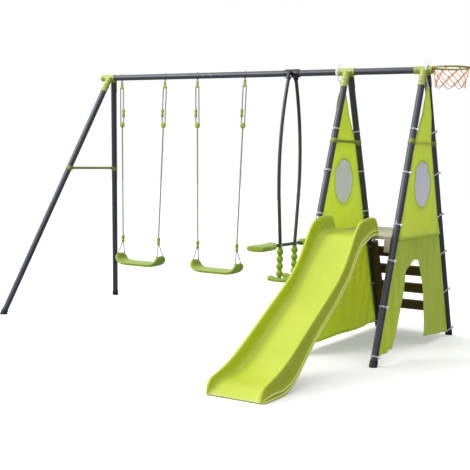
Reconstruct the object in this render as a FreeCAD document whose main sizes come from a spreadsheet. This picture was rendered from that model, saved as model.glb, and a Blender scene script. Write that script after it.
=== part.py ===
import FreeCAD, Part
import math
import os
import re
import Sketcher
from FreeCAD import Placement, Rotation, Vector

# Garden swing set: two rope swings and a face-to-face glider under one beam, and a small
# tower with slide, slat ladder, laced fabric panels and a ball hoop at the right end.
# X runs along the beam, Y from the slide to the ladder, Z up; ground at Z = 0.

os.makedirs("parts", exist_ok=True)
doc = FreeCAD.newDocument("swing_set")
sheet = doc.addObject("Spreadsheet::Sheet", "dims")

SIZES = (
    ("beam_height", 1880, "ground to beam axis"),
    ("beam_back", 596, "beam axis behind the middle of the footprint"),
    ("left_frame", -1215, "left leg frame along X, at the beam"),
    ("mid_frame", 867, "tower leg frame on the swing side"),
    ("right_frame", 1427, "tower leg frame at the hoop end"),
    ("foot_spread", 705, "foot to beam plane, front or rear"),
    ("left_splay", 485, "left feet stand this far outside the beam end"),
    ("leg_offset", 25, "leg axis beside the beam axis at beam height"),
    ("leg_gap", 26, "leg top below the beam axis"),
    ("tube_od", 45, "frame tube diameter"),
    ("tube_wall", 1.5, "frame tube wall"),
    ("fit_gap", 0.3, "clearance of nested tubes and seats"),
    ("leg_joint", 910, "height of the seam in every leg"),
    ("spigot_length", 70, "swaged end pushed into the next tube"),
    ("foot_clear", 12, "leg tube end above ground"),
    ("cap_height", 40, "foot cap height"),
    ("cap_wall", 3.5, "foot cap wall"),
    ("beam_over", 92, "beam past the left frame"),
    ("beam_end", 49, "beam past the right frame"),
    ("beam_seam", -221, "seam between the two beam tubes"),
    ("beam_spigot", 140, "swaged end in the beam seam"),
    ("shell_wall", 3, "corner bracket sheet"),
    ("shell_length", 124, "corner bracket along the beam"),
    ("shell_shift", -12, "bracket centre from its frame"),
    ("left_shell_shift", -30, "bracket centre from the left frame"),
    ("trough_drop", 109, "bracket trough end below the beam axis"),
    ("bolt_d", 6, "bolt shank"),
    ("bolt_head_d", 13, "bolt head and nut"),
    ("bolt_head_h", 4, "bolt head height"),
    ("cross_low", 1154, "left crossbar height"),
    ("cross_high", 1400, "tower crossbar height"),
    ("cross_d", 20, "crossbar diameter"),
    ("swing_a", -900, "left swing centre"),
    ("swing_b", -178, "right swing centre"),
    ("hanger_span", 420, "hanger spacing of one swing"),
    ("eye_r", 10.5, "hanger eye centre line radius"),
    ("eye_wire", 3.25, "hanger eye wire radius"),
    ("eye_drop", 37, "hanger eye centre below the beam axis"),
    ("hook_length", 50, "plastic hook below the pivot"),
    ("hook_width", 40, "hook foot along the beam"),
    ("strand_gap", 28, "spacing of the doubled rope"),
    ("strand_d", 10, "doubled rope diameter"),
    ("rope_d", 12, "main rope diameter"),
    ("fork_d", 8, "seat rope diameter"),
    ("knot_z", 1503, "rope stopper height"),
    ("adjust_z", 1598, "rope adjuster height"),
    ("split_z", 622, "top of the rope splitter"),
    ("split_span", 352, "rope spacing at the splitters"),
    ("split_h", 60, "splitter height"),
    ("rope_sink", 8, "rope length held inside each fitting"),
    ("seat_length", 452, "swing seat along the beam"),
    ("seat_depth", 165, "swing seat front to back"),
    ("seat_z", 388, "underside of the swing seat"),
    ("seat_rise", 88, "raised seat ends above the underside"),
    ("seat_thick", 34, "swing seat thickness"),
    ("fork_spread", 52, "seat rope from the seat middle"),
    ("fork_reach", 213, "seat rope from the swing centre"),
    ("glider", 428, "glider centre along X"),
    ("sleeve_length", 90, "glider bearing sleeve"),
    ("sleeve_r", 30, "glider sleeve outer radius"),
    ("sleeve_gap", 0.4, "sleeve running clearance"),
    ("collar_w", 12, "stop collar width"),
    ("glide_od", 25, "glider tube diameter"),
    ("glide_wall", 1.5, "glider tube wall"),
    ("glide_top", 44, "glider tube top beside the beam axis"),
    ("bow_r", 2107, "bow radius of the upper glider tubes"),
    ("bow_angle", 25, "arc of the upper glider tubes"),
    ("bow_tilt", 6.4, "chord of the bow from the vertical"),
    ("low_length", 326, "lower glider tube"),
    ("cross_half", 474, "half length of the glider crossbar"),
    ("saddle_in", 205, "glider seat inner end"),
    ("saddle_length", 270, "glider seat length"),
    ("saddle_width", 145, "glider seat width"),
    ("bead_r", 25, "foot column bead radius"),
    ("bead_pitch", 52, "bead spacing"),
    ("step_length", 176, "glider footrest along the beam"),
    ("step_depth", 52, "glider footrest front to back"),
    ("step_rise", 50, "raised footrest ends"),
    ("deck_z", 790, "deck top"),
    ("deck_front", 430, "deck front edge before the beam plane"),
    ("deck_back", 420, "deck rear edge behind the beam plane"),
    ("board_thick", 20, "deck board thickness"),
    ("board_gap", 6, "gap between deck boards"),
    ("board_count", 8, "deck boards"),
    ("deck_side", 24, "deck boards short of the frame plane"),
    ("bearer_w", 40, "deck bearer width"),
    ("bearer_h", 80, "deck bearer height"),
    ("bearer_front", 452, "bearer end before the beam plane"),
    ("bearer_back", 446, "bearer end behind the beam plane"),
    ("rail_w", 40, "ladder rail along X"),
    ("rail_t", 56, "ladder rail across its slope"),
    ("rail_low", 142, "ladder rail foot height"),
    ("rail_high", 676, "ladder rail top height"),
    ("slat_h", 76, "ladder slat height"),
    ("slat_t", 20, "ladder slat thickness"),
    ("slat_low", 188, "lowest slat middle"),
    ("slat_pitch", 133, "slat spacing"),
    ("slide_x", 1158, "slide centre along X"),
    ("slide_w", 350, "slide width"),
    ("slide_wall", 22, "slide side wall thickness"),
    ("hoop_r", 118, "hoop centre line radius"),
    ("hoop_wire", 6, "hoop tube radius"),
    ("hoop_reach", 175, "hoop centre past the right frame"),
    ("hoop_lift", 10, "hoop centre line above the beam axis"),
    ("net_d", 4, "net cord diameter"),
    ("net_drop", 44, "one row of the net"),
    ("net_low_r", 94, "net radius at the bottom"),
    ("net_open", 38.5, "half size of one net mesh"),
    ("net_count", 8, "net cords round the hoop"),
    ("cloth_t", 2, "panel thickness"),
    ("cloth_inset", 29, "panel edge from the leg axis"),
    ("cloth_top", 1765, "panel top edge"),
    ("cloth_meet", 1480, "height where the panel reaches the rear leg"),
    ("hem_z", 792, "hem of the upper panel"),
    ("window_z", 1124, "window centre height"),
    ("window_h", 155, "window half height"),
    ("window_w", 144, "window half width"),
    ("skirt_top", 786, "top of the lower panels"),
    ("skirt_low", 40, "foot of the lower panels"),
    ("door_peak", 620, "top of the door cut"),
    ("tie_d", 4, "elastic cord diameter"),
)
NAMES = {name for name, value, note in SIZES}
for row, (name, value, note) in enumerate(SIZES, 1):
    sheet.set(f"A{row}", note)
    sheet.set(f"B{row}", str(value))
    sheet.setAlias(f"B{row}", name)
doc.recompute()

NODES = []
ROPES = []
X_AXIS = Vector(1, 0, 0)
Y_AXIS = Vector(0, 1, 0)
Z_AXIS = Vector(0, 0, 1)


def size(name):
    """Number held in the sheet under a name."""
    return float(sheet.get(name))


def sized(text):
    """Expression text with every sheet name given its prefix."""
    def prefix(found):
        return "dims." + found.group() if found.group() in NAMES else found.group()
    return re.sub(r"[a-z][a-z_]*", prefix, str(text))


def bind(thing, **sizes):
    for prop, text in sizes.items():
        thing.setExpression(prop, sized(text))
    return thing


def along(point, direction):
    """Placement that puts local Z on a direction, starting at a point."""
    return Placement(point, Rotation(Z_AXIS, direction))


def make(kind, name, place, **sizes):
    thing = bind(doc.addObject(kind, name), **sizes)
    thing.Placement = place
    return thing


def rod(name, place, radius, length):
    return make("Part::Cylinder", name, place, Radius=radius, Height=length)


def block(name, place, length, width, height):
    return make("Part::Box", name, place, Length=length, Width=width, Height=height)


def ring(name, place, radius, wire, angle="360"):
    return make("Part::Torus", name, place, Radius1=radius, Radius2=wire, Angle3=angle)


def join(name, members):
    fused = doc.addObject("Part::MultiFuse", name)
    fused.Shapes = members
    return fused


def cut(name, base, tools):
    """Base with every tool taken away."""
    result = doc.addObject("Part::Cut", name)
    result.Base = base
    result.Tool = tools[0] if len(tools) == 1 else join(name + "_tools", tools)
    return result


def node(label, members):
    """Named sub-part; several separate pieces of one kind share it."""
    if len(members) == 1:
        thing = members[0]
    else:
        thing = doc.addObject("Part::Compound", label + "_set")
        thing.Links = members
    thing.Label = label
    NODES.append(thing)
    return thing


def tube(name, place, radius, wall, length):
    outer = rod(name + "_outer", place, radius, length)
    inner = rod(name + "_bore", place, f"({radius}) - ({wall})", length)
    return cut(name, outer, [inner])


PLANES = {"XY": "XY_Plane", "XZ": "XZ_Plane", "YZ": "YZ_Plane"}


def outline(body, name, plane, points):
    """Closed polygon whose corners are tied to expressions."""
    sketch = body.newObject("Sketcher::SketchObject", name)
    role = PLANES[plane]
    features = body.Origin.OriginFeatures
    sketch.AttachmentSupport = [(next(f for f in features if f.Role == role), "")]
    sketch.MapMode = "FlatFace"
    numbers = [tuple(evaluate(text) for text in point) for point in points]
    count = len(points)
    for i in range(count):
        start = Vector(*numbers[i], 0)
        end = Vector(*numbers[(i + 1) % count], 0)
        sketch.addGeometry(Part.LineSegment(start, end), False)
    for i in range(count):
        sketch.addConstraint(Sketcher.Constraint("Coincident", i, 2, (i + 1) % count, 1))
    for i in range(count):
        for way, text, number in zip(("DistanceX", "DistanceY"), points[i], numbers[i]):
            index = sketch.addConstraint(Sketcher.Constraint(way, -1, 1, i, 1, number))
            sketch.setExpression(f"Constraints[{index}]", sized(text))
    return sketch


def evaluate(text):
    """Value of a size expression, worked out by the sheet."""
    return float(sheet.evalExpression(sized(text).replace("dims.", "")))


def prism(name, place, plane, points, depth, edges=None, radius=None, middle=True):
    """Padded polygon; chosen edges rounded."""
    body = doc.addObject("PartDesign::Body", name)
    body.Placement = place
    sketch = outline(body, name + "_outline", plane, points)
    pad = body.newObject("PartDesign::Pad", name + "_pad")
    pad.Profile = sketch
    bind(pad, Length=depth)
    pad.Midplane = middle
    sketch.Visibility = False
    doc.recompute()
    if edges:
        chosen = [f"Edge{i + 1}" for i, edge in enumerate(pad.Shape.Edges) if edges(edge)]
        fillet = body.newObject("PartDesign::Fillet", name + "_round")
        fillet.Base = (pad, chosen)
        bind(fillet, Radius=radius)
        doc.recompute()
    return body


def straight(axis):
    """Edge test: straight edges along one axis."""
    def test(edge):
        line = edge.Vertexes[-1].Point.sub(edge.Vertexes[0].Point)
        return line.Length > 1 and abs(line.normalize().dot(axis)) > 0.999
    return test


# ---- frame layout ---------------------------------------------------------------------
beam = Vector(0, size("beam_back"), size("beam_height"))
tube_r = "tube_od / 2"
spigot_r = "tube_od / 2 - tube_wall - fit_gap"
FRAMES = {
    "left": (size("left_frame"), -size("left_splay")),
    "mid": (size("mid_frame"), 0.0),
    "right": (size("right_frame"), 0.0),
}
SIDES = (("front", -1), ("rear", 1))


def leg_axis(frame, side):
    """Foot point on the ground and unit direction up one leg."""
    x, splay = FRAMES[frame]
    foot = Vector(x + splay, beam.y + side * size("foot_spread"), 0)
    top = Vector(x, beam.y + side * size("leg_offset"), beam.z)
    return foot, top.sub(foot).normalize()


def leg_point(frame, side, height):
    foot, up = leg_axis(frame, side)
    return foot + up * (height / up.z)


def through_bolt(name, centre, direction, reach):
    """Bolt across a tube, head on the direction side; reach is half its grip."""
    start = centre - direction * reach
    shank = rod(name + "_shank", along(start, direction), "bolt_d / 2", str(2 * reach))
    head = rod(name + "_head", along(centre + direction * reach, direction), "bolt_head_d / 2", "bolt_head_h")
    nut = make(
        "Part::Prism", name + "_nut", along(start, direction * -1),
        Circumradius="bolt_head_d / 2", Height="bolt_head_h",
    )
    return join(name, [shank, head, nut])


def bolt_hole(name, centre, direction, reach):
    start = centre - direction * reach
    return rod(name, along(start, direction), "bolt_d / 2 + fit_gap", str(2 * reach))


def leg_cross(frame, side):
    """Unit direction square to a leg, pointing outward in the leg's own slope plane."""
    foot, up = leg_axis(frame, side)
    return up.cross(X_AXIS).normalize() * side


joint_bolts = []
bracket_bolts = []
trough_heights = (-62, -88)
outer_r = size("tube_od") / 2
shell_r = outer_r + size("fit_gap") + size("shell_wall")
for frame in FRAMES:
    uppers = []
    lowers = []
    for word, side in SIDES:
        foot, up = leg_axis(frame, side)
        tag = f"{frame}_{word}"
        across = leg_cross(frame, side)
        seam = leg_point(frame, side, size("leg_joint"))
        low = leg_point(frame, side, size("foot_clear"))
        top = leg_point(frame, side, beam.z - size("leg_gap"))
        lower = tube(tag + "_lower", along(low, up), tube_r, "tube_wall", str((seam - low).Length))
        upper_length = str((top - seam).Length)
        upper_skin = tube(tag + "_upper_skin", along(seam, up), tube_r, "tube_wall", upper_length)
        tip = seam - up * size("spigot_length")
        spigot = tube(
            tag + "_spigot", along(tip, up), spigot_r, "tube_wall",
            f"spigot_length + {size('tube_wall') + 4}",
        )
        neck = tube(tag + "_neck", along(seam, up), tube_r, "tube_wall + fit_gap + 1", "4")
        upper = join(tag + "_upper", [upper_skin, spigot, neck])
        joint = leg_point(frame, side, size("leg_joint") - 30)
        hole = bolt_hole(tag + "_joint_hole", joint, across, 60)
        joint_bolts.append(through_bolt(tag + "_joint_bolt", joint, across, outer_r + 0.2))
        upper_holes = [hole]
        for i, drop in enumerate(trough_heights):
            spot = leg_point(frame, side, beam.z + drop)
            upper_holes.append(bolt_hole(f"{tag}_trough_hole{i}", spot, across, 60))
        lowers.append(cut(tag + "_lower_drilled", lower, [hole]))
        uppers.append(cut(tag + "_upper_drilled", upper, upper_holes))
    node(frame + "_legs_upper", uppers)
    node(frame + "_legs_lower", lowers)

# ---- foot caps ------------------------------------------------------------------------
caps = []
for frame in FRAMES:
    for word, side in SIDES:
        foot, up = leg_axis(frame, side)
        tag = f"{frame}_{word}_cap"
        skin_r = "tube_od / 2 + cap_wall"
        skin = rod(tag + "_skin", along(foot - up * 30, up), skin_r, "cap_height + 30")
        low = leg_point(frame, side, size("foot_clear") - size("fit_gap"))
        bore = rod(tag + "_bore", along(low, up), "tube_od / 2 + fit_gap", "cap_height + 30")
        corner = Placement(foot + Vector(-100, -100, -100), Rotation())
        under = block(tag + "_under", corner, "200", "200", "100")
        caps.append(cut(tag, skin, [bore, under]))
node("foot_caps", caps)

# ---- beam -----------------------------------------------------------------------------
left_end = Vector(size("left_frame") - size("beam_over"), beam.y, beam.z)
right_end = Vector(size("right_frame") + size("beam_end"), beam.y, beam.z)
seam = Vector(size("beam_seam"), beam.y, beam.z)
left_length = "beam_seam - left_frame + beam_over"
beam_left = tube("beam_left", along(left_end, X_AXIS), tube_r, "tube_wall", left_length)
right_length = "right_frame + beam_end - beam_seam"
beam_right_skin = tube("beam_right_skin", along(seam, X_AXIS), tube_r, "tube_wall", right_length)
spigot_start = seam - X_AXIS * size("beam_spigot")
beam_spigot = tube(
    "beam_spigot_tube", along(spigot_start, X_AXIS), spigot_r, "tube_wall", "beam_spigot + 5",
)
beam_neck = tube("beam_neck", along(seam, X_AXIS), tube_r, "tube_wall + fit_gap + 1", "5")
beam_right = join("beam_right", [beam_right_skin, beam_spigot, beam_neck])

left_holes = []
right_holes = []
for i, back in enumerate((29, 95)):
    spot = seam - X_AXIS * back
    hole = bolt_hole(f"beam_seam_hole{i}", spot, Y_AXIS, 60)
    left_holes.append(hole)
    right_holes.append(hole)
    joint_bolts.append(through_bolt(f"beam_seam_bolt{i}", spot, Y_AXIS * -1, outer_r + 0.2))

shell_centres = {
    "left": size("left_frame") + size("left_shell_shift"),
    "mid": size("mid_frame") + size("shell_shift"),
    "right": size("right_frame") + size("shell_shift"),
}
for frame, middle in shell_centres.items():
    for i, reach in enumerate((-42, 42)):
        spot = Vector(middle + reach, beam.y, beam.z)
        hole = bolt_hole(f"{frame}_beam_hole{i}", spot, Y_AXIS, 60)
        (left_holes if frame == "left" else right_holes).append(hole)
        bracket_bolts.append(through_bolt(f"{frame}_beam_bolt{i}", spot, Y_AXIS * -1, shell_r + 0.2))

HANGERS = {}
for word in ("a", "b"):
    centre = size("swing_" + word)
    HANGERS[word] = [Vector(centre + s * size("hanger_span") / 2, beam.y, beam.z) for s in (-1, 1)]
for word, spots in HANGERS.items():
    for i, spot in enumerate(spots):
        hole = bolt_hole(f"hanger_hole_{word}{i}", spot, Z_AXIS, 60)
        (left_holes if spot.x < seam.x else right_holes).append(hole)
node("beam_left_tube", [cut("beam_left_drilled", beam_left, left_holes)])
node("beam_right_tube", [cut("beam_right_drilled", beam_right, right_holes)])

plug = rod("beam_plug", along(left_end, X_AXIS), spigot_r, "12")
plug_face = rod("beam_plug_face", along(left_end - X_AXIS * 4.3, X_AXIS), tube_r, "4")
plug_neck = rod("beam_plug_neck", along(left_end - X_AXIS * 2, X_AXIS), spigot_r, "10")
node("beam_end_plug", [join("beam_plug_whole", [plug, plug_face, plug_neck])])

# ---- corner brackets: pressed T-shaped half shells, front and rear --------------------
shell_outer = "tube_od / 2 + fit_gap + shell_wall"
shell_inner = "tube_od / 2 + fit_gap"
for frame, middle in shell_centres.items():
    for word, side in SIDES:
        tag = f"{frame}_shell_{word}"
        foot, up = leg_axis(frame, side)
        start = Vector(middle - size("shell_length") / 2, beam.y, beam.z)
        sleeve = rod(tag + "_sleeve", along(start, X_AXIS), shell_outer, "shell_length")
        low = leg_point(frame, side, beam.z - size("trough_drop"))
        high = leg_point(frame, side, beam.z - 6)
        trough = rod(tag + "_trough", along(low, up), shell_outer, str((high - low).Length))
        bore_start = start - X_AXIS * 5
        bore = rod(tag + "_bore", along(bore_start, X_AXIS), shell_inner, "shell_length + 10")
        leg_low = leg_point(frame, side, beam.z - size("trough_drop") - 20)
        leg_high = leg_point(frame, side, beam.z - size("leg_gap") + 1)
        leg_bore = rod(tag + "_leg_bore", along(leg_low, up), shell_inner, str((leg_high - leg_low).Length))
        tools = [bore, leg_bore]
        for i, drop in enumerate(trough_heights):
            spot = leg_point(frame, side, beam.z + drop)
            tools.append(bolt_hole(f"{tag}_hole{i}", spot, leg_cross(frame, side), 60))
            bracket_bolts.append(
                through_bolt(f"{tag}_bolt{i}", spot, leg_cross(frame, side), shell_r + 0.2)
            )
        for i, reach in enumerate((-42, 42)):
            spot = Vector(middle + reach, beam.y, beam.z)
            tools.append(bolt_hole(f"{tag}_beam_hole{i}", spot, Y_AXIS, 60))
        whole = join(tag + "_whole", [sleeve, trough])
        hollow = cut(tag + "_hollow", whole, tools)
        step_z = beam.z - 34
        step = leg_point(frame, side, step_z)
        foot_cut = leg_point(frame, side, beam.z - 240)
        split = side * 1.0
        corners = [
            (split, beam.z + 60), (side * 160, beam.z + 60), (side * 160, beam.z - 240),
            (foot_cut.y - beam.y + split, beam.z - 240), (step.y - beam.y + split, step_z), (split, step_z),
        ]
        keep = prism(
            tag + "_keep", Placement(Vector(middle, beam.y, 0), Rotation()), "YZ",
            [(str(y), str(z)) for y, z in corners], "600",
        )
        half = doc.addObject("Part::Common", tag)
        half.Base = hollow
        half.Tool = keep
        node(f"bracket_{frame}_{word}", [half])

# ---- crossbars of the leg frames ------------------------------------------------------
def crossbar(frame, height_name, offset):
    """Round bar between the legs of one frame, its ends flattened into saddles."""
    height = size(height_name)
    front = leg_point(frame, -1, height)
    rear = leg_point(frame, 1, height)
    shift = Vector(offset, 0, 0)
    start = front + shift
    end = rear + shift
    span = end.sub(start)
    bar = rod(frame + "_bar", along(start, span), "cross_d / 2", str(span.Length))
    parts = [bar]
    tools = []
    for word, side in SIDES:
        foot, up = leg_axis(frame, side)
        point = leg_point(frame, side, height) + shift
        saddle_low = point - up * 24
        saddle = rod(f"{frame}_{word}_saddle", along(saddle_low, up), "cross_d / 2 + 6", "48")
        leg_low = leg_point(frame, side, height - 60)
        bore = rod(f"{frame}_{word}_saddle_bore", along(leg_low, up), "tube_od / 2 + fit_gap", "140")
        parts.append(saddle)
        tools.append(bore)
        side_way = X_AXIS * (1 if offset > 0 else -1)
        tip = point + side_way * (size("cross_d") / 2 + 3)
        head = rod(f"{frame}_{word}_saddle_head", along(tip, side_way), "bolt_head_d / 2", "5.5")
        parts.append(head)
    return cut(f"{frame}_crossbar_whole", join(f"{frame}_crossbar_solid", parts), tools)


inner_offset = outer_r + 6
node("crossbar_left", [crossbar("left", "cross_low", inner_offset)])
node("crossbar_mid", [crossbar("mid", "cross_high", inner_offset)])
node("crossbar_right", [crossbar("right", "cross_high", -inner_offset)])
node("frame_bolts", joint_bolts + bracket_bolts)

# ---- hanger eyes under the beam -------------------------------------------------------
pivot_z = beam.z - size("eye_drop") - size("eye_r") + 2 * size("eye_wire") + size("fit_gap")
eyes = []
for word, spots in HANGERS.items():
    for i, spot in enumerate(spots):
        tag = f"eye_{word}{i}"
        centre = spot - Z_AXIS * size("eye_drop")
        loop = ring(tag + "_loop", along(centre, X_AXIS), "eye_r", "eye_wire")
        shank_low = centre + Z_AXIS * size("eye_r")
        shank_length = "eye_drop - eye_r + tube_od / 2 + 7"
        shank = rod(tag + "_shank", along(shank_low, Z_AXIS), "bolt_d / 2", shank_length)
        washer = rod(tag + "_washer", along(spot - Z_AXIS * (outer_r + 2.3), Z_AXIS), "8", "2")
        nut = make(
            "Part::Prism", tag + "_nut", along(spot + Z_AXIS * (outer_r + 0.3), Z_AXIS),
            Circumradius="6.5", Height="5",
        )
        eyes.append(join(tag, [loop, shank, washer, nut]))
node("hanger_eyes", eyes)


# ---- one rope swing -------------------------------------------------------------------
def swing(word):
    middle = size("swing_" + word)
    hooks = []
    loops = []
    fittings = []
    ropes = []
    forks = []
    for i, s in enumerate((-1, 1)):
        tag = f"{word}{i}"
        pivot = Vector(middle + s * size("hanger_span") / 2, beam.y, pivot_z)
        split_top = Vector(middle + s * size("split_span") / 2, beam.y, size("split_z"))
        hang_low = pivot - Z_AXIS * size("hook_length")
        down = split_top.sub(hang_low).normalize()
        slope = Rotation(Z_AXIS, down * -1)
        side_x = slope.multVec(X_AXIS)
        link = ring(tag + "_link", along(pivot - Z_AXIS * size("eye_r"), Y_AXIS), "eye_r", "eye_wire")
        stem = rod(tag + "_stem", along(pivot - Z_AXIS * (size("hook_length") - 8), Z_AXIS), "5.5", "26")
        foot = prism(
            tag + "_hook_foot", Placement(hang_low, Rotation()), "XZ",
            [("-hook_width / 2", "0"), ("hook_width / 2", "0"), ("hook_width / 2", "9"),
             ("9", "24"), ("-9", "24"), ("-hook_width / 2", "9")],
            "16", straight(Y_AXIS), "3",
        )
        hooks.append(join(tag + "_hook", [link, stem, foot]))

        knot_top = hang_low + down * ((hang_low.z - size("knot_z") - 13) / -down.z)
        knot_low = knot_top + down * 26
        strand_length = (knot_top - hang_low).Length + 2 * size("rope_sink")
        for t in (-1, 1):
            start = hang_low - down * size("rope_sink") + side_x * (t * size("strand_gap") / 2)
            strand = rod(f"{tag}_strand{t + 1}", along(start, down), "strand_d / 2", str(strand_length))
            loops.append(strand)
        adjust = hang_low + down * ((hang_low.z - size("adjust_z")) / -down.z)
        grip = prism(
            tag + "_adjuster_body", Placement(adjust, slope), "XZ",
            [("-22", "-25"), ("22", "-25"), ("22", "-6"), ("17", "0"), ("22", "6"), ("22", "25"),
             ("-22", "25"), ("-22", "6"), ("-17", "0"), ("-22", "-6")],
            "18", straight(slope.multVec(Y_AXIS)), "2.5",
        )
        holes = []
        for t in (-1, 1):
            low = adjust + down * 40 + side_x * (t * size("strand_gap") / 2)
            hole_place = along(low, down * -1)
            holes.append(rod(f"{tag}_adjust_hole{t + 1}", hole_place, "strand_d / 2 + fit_gap", "80"))
        fittings.append(cut(tag + "_adjuster", grip, holes))
        fittings.append(prism(
            tag + "_stopper", Placement(knot_low, slope), "XZ",
            [("-21", "9"), ("-10", "0"), ("10", "0"), ("21", "9"), ("21", "26"), ("-21", "26")],
            "20", straight(slope.multVec(Y_AXIS)), "3",
        ))
        rope_start = knot_low - down * size("rope_sink")
        rope_length = (split_top - knot_low).Length + 2 * size("rope_sink")
        ropes.append(rod(tag + "_rope", along(rope_start, down), "rope_d / 2", str(rope_length)))
        ROPES.append((tag, strand_length, rope_length))
        fittings.append(prism(
            tag + "_splitter", Placement(split_top - Z_AXIS * size("split_h"), Rotation()), "YZ",
            [("-24", "0"), ("24", "0"), ("24", "14"), ("11", "split_h"), ("-11", "split_h"), ("-24", "14")],
            "18", straight(X_AXIS), "4",
        ))
        fork_top = split_top - Z_AXIS * (size("split_h") - 6)
        seat_top = size("seat_z") + size("seat_rise")
        for t in (-1, 1):
            start = fork_top + Y_AXIS * (t * 13)
            end = Vector(middle + s * size("fork_reach"), beam.y + t * size("fork_spread"), seat_top - 10)
            run = end.sub(start)
            forks.append(rod(f"{tag}_fork{t + 1}", along(start, run), "fork_d / 2", str(run.Length)))
    half = "seat_length / 2"
    seat = prism(
        f"seat_{word}_body", Placement(Vector(middle, beam.y, size("seat_z")), Rotation()), "XZ",
        [(f"-{half} + 70", "0"), (f"{half} - 70", "0"), (f"{half} - 26", "14"), (half, "seat_rise - 26"),
         (half, "seat_rise"), (f"{half} - 26", "seat_rise"), (f"{half} - 34", "seat_rise - 26"),
         (f"{half} - 66", "seat_thick + 6"), (f"{half} - 92", "seat_thick"), (f"-{half} + 92", "seat_thick"),
         (f"-{half} + 66", "seat_thick + 6"), (f"-{half} + 34", "seat_rise - 26"),
         (f"-{half} + 26", "seat_rise"), (f"-{half}", "seat_rise"), (f"-{half}", "seat_rise - 26"),
         (f"-{half} + 26", "14")],
        "seat_depth", straight(Y_AXIS), "6",
    )
    name = "swing_" + word
    node(name + "_hooks", hooks)
    node(name + "_loops", loops)
    node(name + "_fittings", fittings)
    node(name + "_ropes", ropes)
    node(name + "_forks", forks)
    node(name + "_seat", [seat])


swing("a")
swing("b")

# ---- face-to-face glider --------------------------------------------------------------
glide = Vector(size("glider"), beam.y, beam.z)
half_sleeve = size("sleeve_length") / 2
sleeve_start = glide - X_AXIS * half_sleeve
sleeve = rod("glider_sleeve", along(sleeve_start, X_AXIS), "sleeve_r", "sleeve_length")
bore_place = along(sleeve_start - X_AXIS * 5, X_AXIS)
sleeve_bore = rod("glider_sleeve_bore", bore_place, "tube_od / 2 + sleeve_gap", "sleeve_length + 10")
collars = []
for s in (-1, 1):
    gap = half_sleeve + 0.4
    start = glide + X_AXIS * (gap if s > 0 else -gap - size("collar_w"))
    place = along(start, X_AXIS)
    collars.append(tube(f"glider_collar{s + 1}", place, "tube_od / 2 + 6", "6 - fit_gap", "collar_w"))
node("glider_collars", collars)

glide_r = "glide_od / 2"
bow_r = size("bow_r")
tilt = math.radians(size("bow_tilt"))
half_arc = math.radians(size("bow_angle")) / 2
chord = 2 * bow_r * math.sin(half_arc)
sockets = []
socket_holes = []
uppers = []
lowers = []
glide_bolts = []
low_ends = {}
for word, side in SIDES:
    tag = "glider_" + word
    top = glide + Vector(0, side * size("glide_top"), 0)
    chord_way = Vector(0, side * math.sin(tilt), -math.cos(tilt))
    outward = Vector(0, side * math.cos(tilt), math.sin(tilt))
    centre = top + chord_way * (chord / 2) - outward * (bow_r * math.cos(half_arc))
    top_way = top.sub(centre)
    end = top + chord_way * chord
    plane_x = top_way.normalize()
    normal = plane_x.cross(end.sub(centre)).normalize()
    plane_y = normal.cross(plane_x)
    turn = Rotation(plane_x, plane_y, normal, "XYZ")
    arc_place = Placement(centre, turn)
    skin = ring(tag + "_bow_skin", arc_place, "bow_r", glide_r, "bow_angle")
    core = ring(tag + "_bow_core", arc_place, "bow_r", "glide_od / 2 - glide_wall", "bow_angle")
    bow = cut(tag + "_bow", skin, [core])
    start_way = plane_y
    end_way = normal.cross(end.sub(centre).normalize())
    spigot_place = along(end - end_way * 45, end_way)
    inner_r = "glide_od / 2 - glide_wall - 2 * fit_gap"
    spigot = tube(tag + "_low_spigot", spigot_place, inner_r, "glide_wall", "50")
    neck = tube(tag + "_low_neck", along(end, end_way), glide_r, "glide_wall + 2 * fit_gap + 1", "4")
    low_skin = tube(tag + "_low_skin", along(end, end_way), glide_r, "glide_wall", "low_length")
    low_end = end + end_way * size("low_length")
    low_ends[word] = low_end
    bolt_spots = [end - end_way * back for back in (12, 34)]
    holes = [bolt_hole(f"{tag}_hole{i}", spot, X_AXIS, 40) for i, spot in enumerate(bolt_spots)]
    for i, spot in enumerate(bolt_spots):
        tube_reach = size("glide_od") / 2 + 0.2
        glide_bolts.append(through_bolt(f"{tag}_bolt{i}", spot, X_AXIS, tube_reach))
    top_spot = top + start_way * 28
    holes.append(bolt_hole(f"{tag}_top_hole", top_spot, X_AXIS, 40))
    glide_bolts.append(through_bolt(f"{tag}_top_bolt", top_spot, X_AXIS, 17.2))
    uppers.append(cut(tag + "_upper", bow, holes))
    socket = rod(tag + "_socket", along(top - start_way * 4, start_way), "17", "50")
    web_corner = glide + Vector(-9, min(0, side * 44), -20)
    web = block(tag + "_web", Placement(web_corner, Rotation()), "18", "44", "34")
    sockets.extend([socket, web])
    socket_bore = ring(tag + "_socket_bore", arc_place, "bow_r", "glide_od / 2 + fit_gap", "bow_angle")
    socket_holes.append(socket_bore)
    socket_holes.append(bolt_hole(f"{tag}_socket_hole", top_spot, X_AXIS, 40))
    cope_start = Vector(glide.x, beam.y - 600, low_end.z)
    bar_bore = rod(tag + "_cope", along(cope_start, Y_AXIS), "glide_od / 2 + fit_gap", "1200")
    lower = join(tag + "_low_whole", [low_skin, spigot, neck])
    low_holes = [bolt_hole(f"{tag}_low_hole{i}", spot, X_AXIS, 40) for i, spot in enumerate(bolt_spots)]
    lowers.append(cut(tag + "_lower", lower, [bar_bore] + low_holes))
bearing_solid = join("glider_bearing_solid", [sleeve] + sockets)
node("glider_bearing", [cut("glider_bearing_whole", bearing_solid, [sleeve_bore] + socket_holes)])
node("glider_upper_tubes", uppers)
node("glider_lower_tubes", lowers)

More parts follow.
